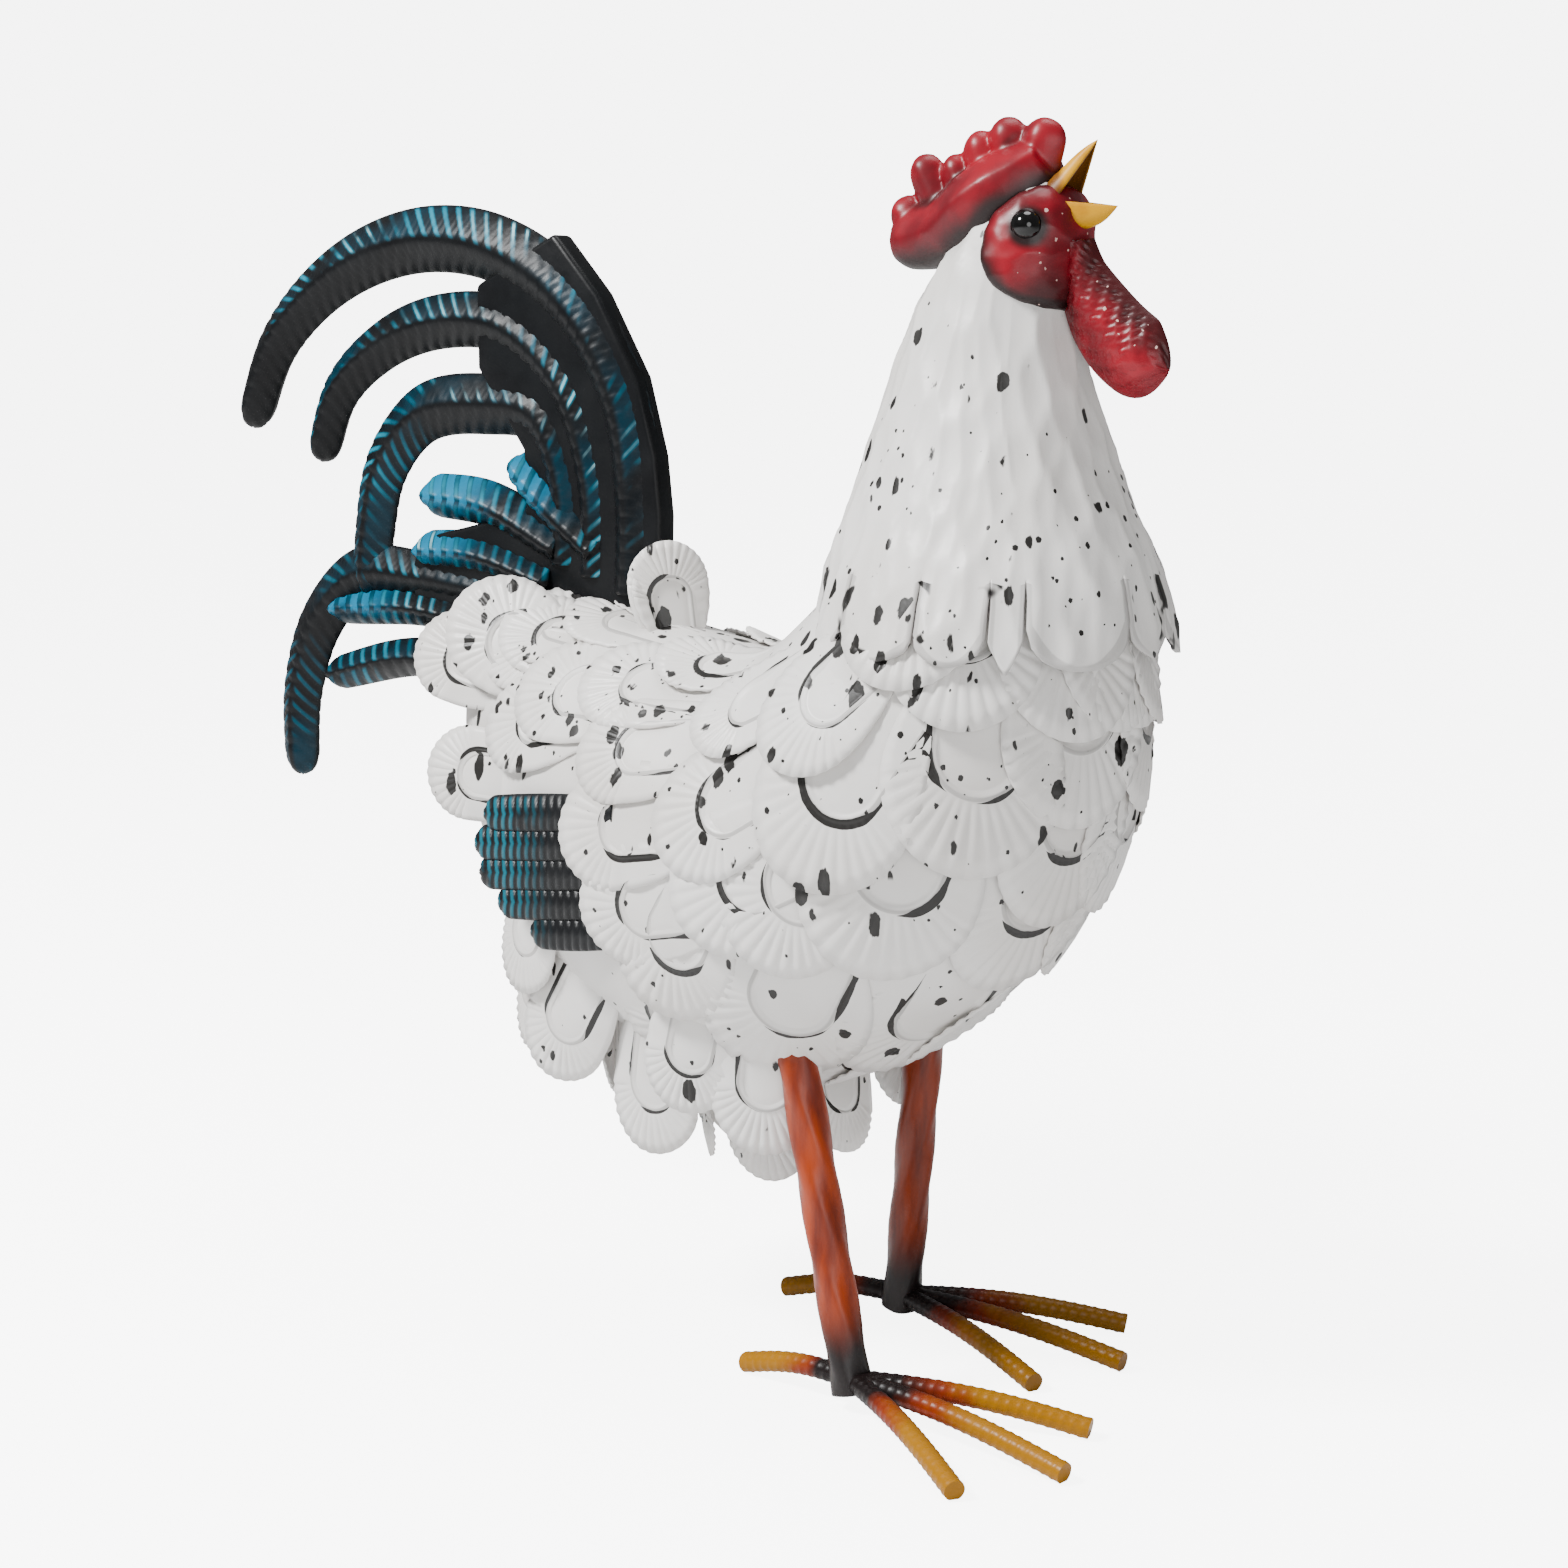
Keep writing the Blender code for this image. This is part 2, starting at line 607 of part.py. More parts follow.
def neck_with_tongues(lift=0.0):
    """Neck cone whose hem is a sheet cut into tongues that lie over the cape."""
    bm = bmesh.new()
    corners = [360 * i / NECK_SIDES for i in range(NECK_SIDES)]
    loops = []
    for ring in NECK_RINGS[1:]:
        rise = lift if ring is NECK_RINGS[-1] else 0.0
        points = [neck_skin(ring[0], around, lift) for around in corners]
        loops.append([bm.verts.new((x, y, z + rise)) for x, y, z in points])
    for near, far in zip(loops, loops[1:]):
        bridge(bm, near, far)
    bm.faces.new(loops[-1])
    outer = []
    inner = []
    for around in corners:
        for share, height in TONGUE:
            turn = around + share * 360 / NECK_SIDES
            outer.append(bm.verts.new(hem_point(height - lift, turn, 0.4 * SHEET + lift)))
            inner.append(bm.verts.new(hem_point(height - lift, turn, -1.6 * SHEET - lift)))
    base = [bm.verts.new(hem_point(NECK_FLOOR - lift, around, -1.6 * SHEET - lift)) for around in corners]
    for ring, hem in ((loops[0], outer), (base, inner)):
        for i in range(NECK_SIDES):
            near, far = ring[i], ring[(i + 1) % NECK_SIDES]
            notch, first, tip, second = hem[4 * i:4 * i + 4]
            after = hem[(4 * i + 4) % len(hem)]
            for face in ((near, notch, first), (near, first, tip), (near, tip, far),
                         (far, tip, second), (far, second, after)):
                bm.faces.new(face)
    bridge(bm, outer, inner)
    bm.faces.new(base)
    face_outward(bm)
    return bm


def flight_feathers(mirrored, lift=0.0):
    """Five narrow plates fanned one under the other along the wing's rear end."""
    bm = bmesh.new()
    heading = math.radians(FLIGHT_HEADING)
    tangent = np.array((-math.sin(heading), FLIGHT_TOE_IN, -math.cos(heading)))
    tangent /= np.linalg.norm(tangent)
    outward = np.array((0.0, -1.0, 0.0)) + tangent * tangent[1]
    outward /= np.linalg.norm(outward)
    stations = [share for share, _ in VANE]
    for i in range(FLIGHT_COUNT):
        length = FLIGHT_LENGTH - FLIGHT_SHORTENING * (i - FLIGHT_LONGEST) ** 2
        root = np.array(FLIGHT_ROOT) - np.array((0.0, 0.0, FLIGHT_PITCH * i))
        root += outward * (lift + STAGGER * (i % 2)) - tangent * lift
        frames = [(s, root + tangent * (length + 2 * lift) * s, outward, tangent)
                  for s in [*stations, 1.0]]
        add_plate(bm, frames, FLIGHT_WIDTH / 2 + lift, lambda s: 1.2 * SHEET + 2 * lift,
                  mirrored, (-1, 1))
    return bm


def hull(bm):
    """Replace a mesh by its convex hull."""
    result = bmesh.ops.convex_hull(bm, input=bm.verts)
    inside = [item for item in result["geom_interior"] if isinstance(item, bmesh.types.BMVert)]
    bmesh.ops.delete(bm, geom=inside, context="VERTS")
    kept = {item for item in result["geom"] if isinstance(item, bmesh.types.BMFace)}
    old = [face for face in bm.faces if face not in kept]
    bmesh.ops.delete(bm, geom=old, context="FACES")
    face_outward(bm)
    return bm


def offset_outline(points, distance):
    """Move a closed outline outwards; the points run anticlockwise or clockwise."""
    points = np.array(points)
    after = np.roll(points, -1, axis=0) - points
    after /= np.linalg.norm(after, axis=1)[:, None]
    before = np.roll(after, 1, axis=0)
    away = np.stack((after[:, 1] + before[:, 1], -after[:, 0] - before[:, 0]), axis=1)
    away /= np.linalg.norm(away, axis=1)[:, None]
    area = np.sum(points[:, 0] * np.roll(points[:, 1], -1) - points[:, 1] * np.roll(points[:, 0], -1))
    return points + away * distance * math.copysign(1.0, area)


def tail_solid(name, collection, material=None, lift=0.0):
    outline = offset_outline(TAIL_WEB, lift)
    half = WEB_HALF_THICKNESS + lift
    tail = add_object(name, loft([[(x, y, z) for x, z in outline] for y in (-half, half)]),
                      collection, material)
    blades = bmesh.new()
    for shape in TAIL_BLADES:
        blade(blades, shape, TAIL_STEP, lift)
    other = add_object(name + "_blades", blades, collection)
    boolean(tail, other, "UNION", own_crossings=True)
    bpy.data.objects.remove(other)
    keep_outer_body(tail)
    return tail


def comb_solid(collection, material):
    table = np.array(COMB_RIDGE)
    ahead = np.gradient(table[:, :2], axis=0)
    ahead /= np.linalg.norm(ahead, axis=1)[:, None]
    rings = []
    for (x, z, up, down, half), (ahead_x, ahead_z) in zip(table, ahead):
        ring = []
        for rise, side in COMB_SECTION:
            reach = rise * (up if rise > 0 else down)
            ring.append((x - ahead_z * reach, side * half, z + ahead_x * reach))
        rings.append(ring)
    comb = add_object("comb", loft(rings), collection, material)
    points = bmesh.new()
    for shape in COMB_POINTS:
        blade(points, shape, COMB_STEP)
    other = add_object("comb_points", points, collection)
    boolean(comb, other, "UNION", own_crossings=True)
    bpy.data.objects.remove(other)
    keep_outer_body(comb)
    merge_flat_faces(comb, FLAT_ANGLE)
    return comb


def wattle_solid(collection, material):
    bm = bmesh.new()
    blade(bm, WATTLE._replace(path=[(x, z + FACE_HEIGHT) for x, z in WATTLE.path]), COMB_STEP)
    return add_object("wattle", bm, collection, material)


def face_mask(clearance=0.0):
    """A pillow wrapped round the head: a flattened ball bent on to the neck skin."""
    bm = bmesh.new()
    bmesh.ops.create_uvsphere(bm, u_segments=16, v_segments=6, radius=1.0)
    for vert in bm.verts:
        x, y, z = vert.co
        radius = math.hypot(x, y)
        corner = (abs(x) ** 3 + abs(y) ** 3) ** (1 / 3)
        spread = radius / corner if corner > 0 else 1.0
        around = x * spread * (FACE_HALF_ANGLE + 900 * clearance) * (1 + FACE_WIDENING * y)
        height = FACE_HEIGHT + y * spread * (FACE_HALF_HEIGHT + clearance)
        lift = max(z, 0.0) * FACE_THICKNESS + clearance if z > 0 else -SHEET
        vert.co = neck_skin(height, around, lift)
    face_outward(bm)
    return bm


def eye_ball(side, clearance=0.0):
    bm = bmesh.new()
    bmesh.ops.create_uvsphere(bm, u_segments=8, v_segments=5, radius=EYE_RADIUS + clearance)
    centre = neck_skin(FACE_HEIGHT + EYE_RISE, side * EYE_ANGLE, FACE_THICKNESS - EYE_SINK)
    bmesh.ops.translate(bm, verts=bm.verts, vec=Vector(centre))
    return bm


def beak_half(name, tip, ridge, collection, material):
    """A hollow fold: a fan from the tip to five points that are set into the head."""
    corner_x, corner_y, corner_z = BEAK_CORNER
    ridge_x, ridge_z = ridge
    corner_z += math.copysign(0.9 * BEAK_SHEET, ridge_z - corner_z) + FACE_HEIGHT
    ridge_z += FACE_HEIGHT
    middle = np.array((corner_x, 0.0, corner_z))
    apex = np.array((tip[0], 0.0, tip[1] + FACE_HEIGHT))
    front = [middle + np.array((0.0, -corner_y, 0.0)),
             np.array((0.35 * corner_x + 0.65 * ridge_x, -0.72 * corner_y, 0.35 * corner_z + 0.65 * ridge_z)),
             np.array((ridge_x, 0.0, ridge_z))]
    front += [point * (1, -1, 1) for point in front[1::-1]]
    bm = bmesh.new()
    outer_tip = bm.verts.new(apex)
    inner_tip = bm.verts.new(apex + (middle - apex) * BEAK_HOLLOW)
    columns = []
    for point in front:
        rear = point - np.array((BEAK_INSERT, 0.0, 0.4 * BEAK_INSERT))
        inside = middle + (point - middle) * (1 - BEAK_HOLLOW) - np.array((BEAK_INSERT, 0.0, 0.0))
        columns.append([outer_tip, bm.verts.new(point), bm.verts.new(rear), bm.verts.new(inside), inner_tip])
    for near, far in zip(columns, columns[1:]):
        bm.faces.new((outer_tip, near[1], far[1]))
        bm.faces.new((near[1], near[2], far[2], far[1]))
        bm.faces.new((near[2], near[3], far[3], far[2]))
        bm.faces.new((near[3], inner_tip, far[3]))
    for side in (columns[0], columns[-1]):
        bm.faces.new((side[0], side[1], side[4]))
        bm.faces.new((side[1], side[2], side[3], side[4]))
    face_outward(bm)
    return add_object(name, bm, collection, material)


# Legs and toes, drawn from the ground up

def leg_line(side):
    """Bottom centre of a leg and its top inside the body; side is -1 right, +1 left."""
    foot = Vector((-side * STRIDE, side * STANCE_WIDTH / 2, LEG_FOOT))
    hip = Vector((HIP_X, side * (STANCE_WIDTH / 2 - HIP_SPREAD), HIP_HEIGHT + HIP_RISE))
    reach = (HIP_HEIGHT + LEG_INSERT - LEG_FOOT) / (hip.z - foot.z)
    return foot, foot + (hip - foot) * reach


def leg_solid(side, lift=0.0):
    """A square tube twisted about its own length."""
    foot, hip = leg_line(side)
    axis = (hip - foot).normalized()
    foot = foot - axis * lift
    hip = hip + axis * lift
    across = Vector((0, 1, 0)).cross(axis).normalized()
    other = axis.cross(across)
    radius = (LEG_SIDE / 2 + lift) * math.sqrt(2)
    rings = []
    for i in range(LEG_STATIONS + 1):
        share = i / LEG_STATIONS
        centre = foot.lerp(hip, share)
        turns = [side * LEG_TWIST * share + math.pi / 4 + k * math.pi / 2 for k in range(4)]
        rings.append([centre + (across * math.cos(t) + other * math.sin(t)) * radius for t in turns])
    bm = loft(rings)
    bmesh.ops.triangulate(bm, faces=bm.faces, quad_method="FIXED")
    return bm


TOES = (
    ("middle", 0.0, FRONT_TOE),
    ("outer", TOE_SPREAD, SIDE_TOE),
    ("inner", -TOE_SPREAD, SIDE_TOE),
    ("back", math.pi, BACK_TOE),
)


def toe_rod(name, side, turn, length, collection, material=None, clearance=0.0):
    """A round rod from the leg's axis down to the ground, as a closed mesh."""
    foot, _ = leg_line(side)
    aim = side * (turn + (TOE_OUT_RIGHT if side < 0 else TOE_OUT_LEFT))
    curve = bpy.data.curves.new(name, "CURVE")
    curve.dimensions = "3D"
    curve.bevel_depth = ROD_RADIUS + clearance
    curve.bevel_resolution = 2
    curve.use_fill_caps = True
    spline = curve.splines.new("POLY")
    spline.points.add(len(TOE_SHARES) - 1)
    tip_height = ROD_RADIUS - TOE_FLAT
    for share, point in zip(TOE_SHARES, spline.points):
        descent = min(1.0, share / TOE_SHARES[-2])
        rise = TOE_ROOT_HEIGHT + (tip_height - TOE_ROOT_HEIGHT) * descent
        rise += TOE_ARCH * math.sin(math.pi * descent)
        point.co = (foot.x + length * share * math.cos(aim),
                    foot.y + length * share * math.sin(aim), rise, 1.0)
    wire = bpy.data.objects.new(name, curve)
    collection.objects.link(wire)
    graph = bpy.context.evaluated_depsgraph_get()
    mesh = bpy.data.meshes.new_from_object(wire.evaluated_get(graph))
    bpy.data.objects.remove(wire)
    bm = bmesh.new()
    bm.from_mesh(mesh)
    bmesh.ops.remove_doubles(bm, verts=bm.verts, dist=1e-5)
    cut = bmesh.ops.bisect_plane(bm, geom=[*bm.verts, *bm.edges, *bm.faces], clear_inner=True,
                                 plane_co=(0, 0, -clearance), plane_no=(0, 0, 1))
    rim = [item for item in cut["geom_cut"] if isinstance(item, bmesh.types.BMEdge)]
    bmesh.ops.holes_fill(bm, edges=rim)
    face_outward(bm)
    return add_object(name, bm, collection, material)


# Assembly

def main():
    for thing in list(bpy.data.objects):
        bpy.data.objects.remove(thing)
    statue = bpy.data.collections.new("metal_rooster")
    cutters = bpy.data.collections.new("cutters")
    bpy.context.scene.collection.children.link(statue)
    bpy.context.scene.collection.children.link(cutters)
    paint = make_materials()
    root = bpy.data.objects.new("stand_centre", None)
    root.location = (STANCE_X, 0, 0)
    hips = bpy.data.objects.new("hips", None)
    hips.location = (0, 0, HIP_HEIGHT)
    hips.parent = root
    statue.objects.link(root)
    statue.objects.link(hips)

    # Solids that keep the gap between neighbours
    neck_space = add_object("neck_space", neck_with_tongues(2 * GAP), cutters)
    face_space = add_object("face_space", face_mask(GAP), cutters)
    tail_space = tail_solid("tail_space", cutters, lift=GAP)
    upper = [neck_space, face_space, tail_space]

    body = add_object("body", loft(body_rings()), statue, paint["white"])
    coat = add_object("coat", feather_coat(), cutters)
    boolean(body, coat, "UNION", own_crossings=True)
    bpy.data.objects.remove(coat)
    keep_outer_body(body)
    merge_flat_faces(body, FLAT_ANGLE)
    boolean(body, neck_space, "DIFFERENCE")
    boolean(body, tail_space, "DIFFERENCE")
    upper.append(body)

    upper.append(add_object("neck", neck_with_tongues(), statue, paint["white"]))
    upper.append(tail_solid("tail", statue, paint["teal"]))

    for side, mirrored in (("right", False), ("left", True)):
        space = add_object("flight_space_" + side, hull(flight_feathers(mirrored, GAP)), cutters)
        boolean(body, space, "DIFFERENCE")
        wing = add_object("flight_feathers_" + side, flight_feathers(mirrored), statue, paint["teal"])
        upper += [space, fuse(wing, cutters)]

    face = add_object("face", face_mask(), statue, paint["red"])
    boolean(face, neck_space, "DIFFERENCE")
    upper.append(face)
    for side, sign in (("right", 1), ("left", -1)):
        space = add_object("eye_space_" + side, eye_ball(sign, GAP), cutters)
        boolean(face, space, "DIFFERENCE")
        eye = add_object("eye_" + side, eye_ball(sign), statue, paint["eye"])
        boolean(eye, neck_space, "DIFFERENCE")
        upper += [space, eye]
    comb = comb_solid(statue, paint["red"])
    wattle = wattle_solid(statue, paint["red"])
    upper_beak = beak_half("beak_upper", UPPER_TIP, BEAK_RIDGE, statue, paint["yellow"])
    lower_beak = beak_half("beak_lower", LOWER_TIP, BEAK_KEEL, statue, paint["yellow"])
    for thing in (comb, wattle, upper_beak, lower_beak):
        boolean(thing, neck_space, "DIFFERENCE")
        boolean(thing, face_space, "DIFFERENCE")
        keep_outer_body(thing)
        upper.append(thing)
    for side in (-1, 1):
        socket = leg_solid(side, GAP)
        bmesh.ops.translate(socket, verts=socket.verts, vec=(0, 0, -HIP_HEIGHT))
        socket = add_object("leg_socket", socket, cutters)
        boolean(body, socket, "DIFFERENCE")
        upper.append(socket)
    for thing in upper:
        thing.parent = hips

    lower = []
    for name, side in (("right", -1), ("left", 1)):
        leg = add_object("leg_" + name, leg_solid(side), statue, paint["orange"])
        leg_space = add_object("leg_space_" + name, leg_solid(side, GAP), cutters)
        lower += [leg, leg_space]
        rod_space = toe_rod("rod_space_" + name, side, 0.0, FRONT_TOE, cutters, clearance=GAP)
        lower.append(rod_space)
        for part_name, turn, length in TOES:
            toe = toe_rod("toe_%s_%s" % (name, part_name), side, turn, length, statue, paint["orange"])
            boolean(toe, leg_space, "DIFFERENCE")
            if turn not in (0.0, math.pi):
                boolean(toe, rod_space, "DIFFERENCE")
            keep_outer_body(toe)
            lower.append(toe)
    for thing in lower:
        thing.parent = root

    keep_outer_body(body)
    for thing in cutters.objects:
        thing.hide_render = True
        thing.display_type = "WIRE"
    for thing in statue.objects:
        if thing.type == "MESH":
            shade(thing)


main()
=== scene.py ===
"""Painted sheet-metal rooster statue: stamped feather plates, embossed tail and rod toes."""

import math
from functools import partialmethod

import bmesh
import bpy
import numpy as np
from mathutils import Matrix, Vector


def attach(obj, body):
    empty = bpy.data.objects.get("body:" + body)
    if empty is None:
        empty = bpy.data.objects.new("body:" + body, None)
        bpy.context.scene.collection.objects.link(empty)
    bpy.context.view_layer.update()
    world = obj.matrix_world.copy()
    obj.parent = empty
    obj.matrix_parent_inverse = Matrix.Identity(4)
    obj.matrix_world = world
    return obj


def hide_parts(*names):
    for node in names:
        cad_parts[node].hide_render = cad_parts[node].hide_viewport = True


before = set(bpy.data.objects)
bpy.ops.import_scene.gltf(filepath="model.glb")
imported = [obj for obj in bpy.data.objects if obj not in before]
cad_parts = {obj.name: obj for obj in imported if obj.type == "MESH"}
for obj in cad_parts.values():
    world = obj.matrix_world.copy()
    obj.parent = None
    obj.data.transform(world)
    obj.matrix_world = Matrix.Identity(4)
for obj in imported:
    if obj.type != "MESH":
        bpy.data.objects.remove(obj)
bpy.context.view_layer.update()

# The upper half is drawn from the middle of the stance, with heights from the hips
STANCE_X = 0.112
HIP_HEIGHT = 0.095
UPPER = np.array((STANCE_X, 0.0, HIP_HEIGHT))
LOWER = np.array((STANCE_X, 0.0, 0.0))

# Body shell: ring angle in degrees, inner radius, outer radius, half width
PIVOT = (-0.100, 0.275)
BODY_RINGS = np.array((
    (8, 0.116, 0.192, 0.036), (20, 0.109, 0.219, 0.053), (40, 0.103, 0.251, 0.073),
    (60, 0.099, 0.263, 0.078), (80, 0.084, 0.261, 0.075), (100, 0.080, 0.236, 0.062),
    (118, 0.086, 0.196, 0.043), (132, 0.101, 0.158, 0.024), (138, 0.116, 0.142, 0.011)))
# Neck cone: height, middle x, half length, half width
NECK_RINGS = np.array((
    (0.205, 0.0505, 0.0672, 0.0650), (0.230, 0.0500, 0.0622, 0.0565),
    (0.245, 0.0491, 0.0563, 0.0500), (0.265, 0.0482, 0.0483, 0.0425),
    (0.285, 0.0478, 0.0412, 0.0362), (0.305, 0.0487, 0.0345, 0.0304),
    (0.325, 0.0505, 0.0286, 0.0252), (0.337, 0.0545, 0.0245, 0.0226),
    (0.346, 0.0595, 0.0200, 0.0196), (0.355, 0.0640, 0.0156, 0.0162),
    (0.362, 0.0672, 0.0112, 0.0125), (0.367, 0.0690, 0.0075, 0.0085)))

SHEET = 0.0008
NECK_SHEET = 0.0012
RNG = np.random.default_rng(7)


# Trees: arithmetic that adds its own nodes

class Field:
    """A number, vector or geometry in a node tree; the usual signs add nodes to the tree."""

    def __init__(self, tree, socket):
        self.tree = tree
        self.socket = socket

    def _through(self, kind, inputs, output=0, **settings):
        return made(self.tree, kind, inputs, output, **settings)

    def _math(self, operation, *others):
        return self._through("ShaderNodeMath", dict(enumerate((self, *others))), operation=operation)

    __add__ = __radd__ = partialmethod(_math, "ADD")
    __sub__ = partialmethod(_math, "SUBTRACT")
    __mul__ = __rmul__ = partialmethod(_math, "MULTIPLY")
    __truediv__ = partialmethod(_math, "DIVIDE")
    __pow__ = partialmethod(_math, "POWER")
    abs = partialmethod(_math, "ABSOLUTE")
    fract = partialmethod(_math, "FRACT")
    at_least = partialmethod(_math, "MAXIMUM")
    at_most = partialmethod(_math, "MINIMUM")

    def __rsub__(self, other):
        return (self * -1.0) + other

    def step(self, low, high):
        """0 below low, 1 above high and smooth in between; low may be the larger one."""
        inputs = {"Value": self, "From Min": low, "From Max": high}
        return self._through("ShaderNodeMapRange", inputs, "Result", interpolation_type="SMOOTHSTEP")

    def parts(self):
        node = self._through("ShaderNodeSeparateXYZ", {0: self}).socket.node
        return [Field(self.tree, socket) for socket in node.outputs]

    def joined(self, y, z=0.0):
        return self._through("ShaderNodeCombineXYZ", {0: self, 1: y, 2: z})

    def times(self, factors, turn=(0.0, 0.0, 0.0)):
        """A vector stretched by three factors, then turned."""
        return self._through("ShaderNodeMapping", {"Vector": self, "Scale": factors, "Rotation": turn})

    def scaled(self, amount):
        """A vector times one number."""
        return self._through("ShaderNodeVectorMath", {0: self, "Scale": amount}, operation="SCALE")

    def noise(self, scale, detail=2.0):
        return self._through("ShaderNodeTexNoise", {"Vector": self, "Scale": scale, "Detail": detail})

    def cells(self, scale):
        """Distance to the nearest cell centre, in cells, and that cell's random colour."""
        gap = self._through("ShaderNodeTexVoronoi", {"Vector": self, "Scale": scale}, "Distance")
        return gap, Field(self.tree, gap.socket.node.outputs["Color"])


def made(tree, kind, inputs=None, output=0, **settings):
    """A new node, given as the Field of one of its outputs; inputs are Fields or values."""
    node = tree.nodes.new(kind)
    for name, value in settings.items():
        setattr(node, name, value)
    for key, value in (inputs or {}).items():
        if isinstance(value, Field):
            tree.links.new(value.socket, node.inputs[key])
        else:
            node.inputs[key].default_value = value
    return Field(tree, node.outputs[output])


def shape_tree(name, sizes):
    """A geometry tree with a geometry in, a geometry out, a paint input and named sizes."""
    tree = bpy.data.node_groups.new(name, "GeometryNodeTree")
    tree.interface.new_socket("Geometry", in_out="INPUT", socket_type="NodeSocketGeometry")
    tree.interface.new_socket("Geometry", in_out="OUTPUT", socket_type="NodeSocketGeometry")
    for label, value in sizes.items():
        socket = tree.interface.new_socket(label, in_out="INPUT", socket_type="NodeSocketFloat")
        socket.default_value = value
    tree.interface.new_socket("Paint", in_out="INPUT", socket_type="NodeSocketMaterial")
    entry = tree.nodes.new("NodeGroupInput")
    tree.nodes.new("NodeGroupOutput")
    return tree, {item.name: Field(tree, item) for item in entry.outputs if item.name}


def named(tree, name, kind="FLOAT_VECTOR"):
    return made(tree, "GeometryNodeInputNamedAttribute", {"Name": name}, "Attribute", data_type=kind)


def pressed(tree, given, amount, geometry=None):
    """Move each point along its own normal, make the result plain mesh and paint it."""
    offset = made(tree, "GeometryNodeInputNormal").scaled(amount)
    moved = made(tree, "GeometryNodeSetPosition",
                 {"Geometry": geometry or given["Geometry"], "Offset": offset})
    plain = made(tree, "GeometryNodeRealizeInstances", {"Geometry": moved})
    painted = made(tree, "GeometryNodeSetMaterial", {"Geometry": plain, "Material": given["Paint"]})
    end = next(node for node in tree.nodes if node.bl_idname == "NodeGroupOutput")
    tree.links.new(painted.socket, end.inputs["Geometry"])
    return tree


def in_scene(name, data):
    thing = bpy.data.objects.new(name, data)
    bpy.context.scene.collection.objects.link(thing)
    return thing


def keep_result(thing):
    """Turn what the object's modifiers make into its plain mesh."""
    graph = bpy.context.evaluated_depsgraph_get()
    mesh = bpy.data.meshes.new_from_object(thing.evaluated_get(graph))
    thing.modifiers.clear()
    thing.data = mesh
    return thing


def apply_tree(thing, tree, sizes, paint, thickness=0.0):
    """Run a tree, and a sheet thickness if asked, and keep the result."""
    modifier = thing.modifiers.new(tree.name, "NODES")
    modifier.node_group = tree
    for item in tree.interface.items_tree:
        if item.in_out == "INPUT" and item.name in sizes:
            modifier[item.identifier] = float(sizes[item.name])
        elif item.in_out == "INPUT" and item.name == "Paint":
            modifier[item.identifier] = paint
    if thickness:
        wall = thing.modifiers.new("sheet", "SOLIDIFY")
        wall.thickness = thickness
        wall.offset = -1.0
    return keep_result(thing)


# Skins and plates

def smooth(at, stations, values):
    """Cubic curve through the stations, with slopes taken from their neighbours; values has
    a number or a row of numbers for each station."""
    slopes = np.gradient(values, stations, axis=0)
    i = int(np.clip(np.searchsorted(stations, at) - 1, 0, len(stations) - 2))
    span = stations[i + 1] - stations[i]
    t = (at - stations[i]) / span
    start = (1 + 2 * t) * (1 - t) ** 2 * values[i] + t * (1 - t) ** 2 * span * slopes[i]
    end = t * t * (3 - 2 * t) * values[i + 1] + t * t * (t - 1) * span * slopes[i + 1]
    return start + end


def body_skin(angle, around):
    """Point on the body shell; around is 0 at the breast and 90 on the right side."""
    inner, outer, half = smooth(angle, BODY_RINGS[:, 0], BODY_RINGS[:, 1:])
    tilt, turn = math.radians(angle), math.radians(around)
    radius = (inner + outer) / 2 + (outer - inner) / 2 * math.cos(turn)
    return np.array((PIVOT[0] + radius * math.cos(tilt), -half * math.sin(turn),
                     PIVOT[1] - radius * math.sin(tilt)))


def neck_skin(height, around, lift=0.0):
    """Point on the neck cone; around is 0 at the front and 90 on the right side."""
    middle, length, width = smooth(height, NECK_RINGS[:, 0], NECK_RINGS[:, 1:])
    turn = math.radians(around)
    return np.array((middle + (length + lift) * math.cos(turn), -(width + lift) * math.sin(turn), height))


def skin_frame(u, v, step=0.25):
    point = body_skin(u, v)
    along = (body_skin(u + step, v) - body_skin(u - step, v)) / (2 * step)
    round_ = (body_skin(u, v + step) - body_skin(u, v - step)) / (2 * step)
    normal = np.cross(round_, along)
    return point, normal / np.linalg.norm(normal), along, round_


def unit(vector):
    return vector / np.linalg.norm(vector)


def heading_line(degrees):
    turn = math.radians(degrees)
    return np.array((-math.sin(turn), 0.0, -math.cos(turn)))


SPINE_STEPS = 7


def spine_on_shell(u, v, heading, length):
    """Points, normals and directions of a line on the shell that ends at (u, v)."""
    rows = []
    for k in range(SPINE_STEPS):
        point, normal, along, round_ = skin_frame(u, v)
        down = heading_line(heading)
        tangent = unit(down - normal * down.dot(normal))
        rows.append((point, normal, tangent))
        basis = np.stack((along, round_), axis=1)
        du, dv = np.linalg.lstsq(basis, tangent, rcond=None)[0] * length / (SPINE_STEPS - 1)
        u, v = u - du, v - dv
    return [np.array(column) for column in zip(*rows[::-1])]


def straight_spine(root, normal, tangent, length, droop=0.0):
    """A free plate's line; droop bends its tip towards the body."""
    shares = np.linspace(0.0, 1.0, SPINE_STEPS)
    points = np.array([root + tangent * length * s - normal * droop * s * s for s in shares])
    tangents = np.array([unit(tangent * length - normal * 2 * droop * s) for s in shares])
    normals = np.array([unit(normal - t * normal.dot(t)) for t in tangents])
    return points, normals, tangents


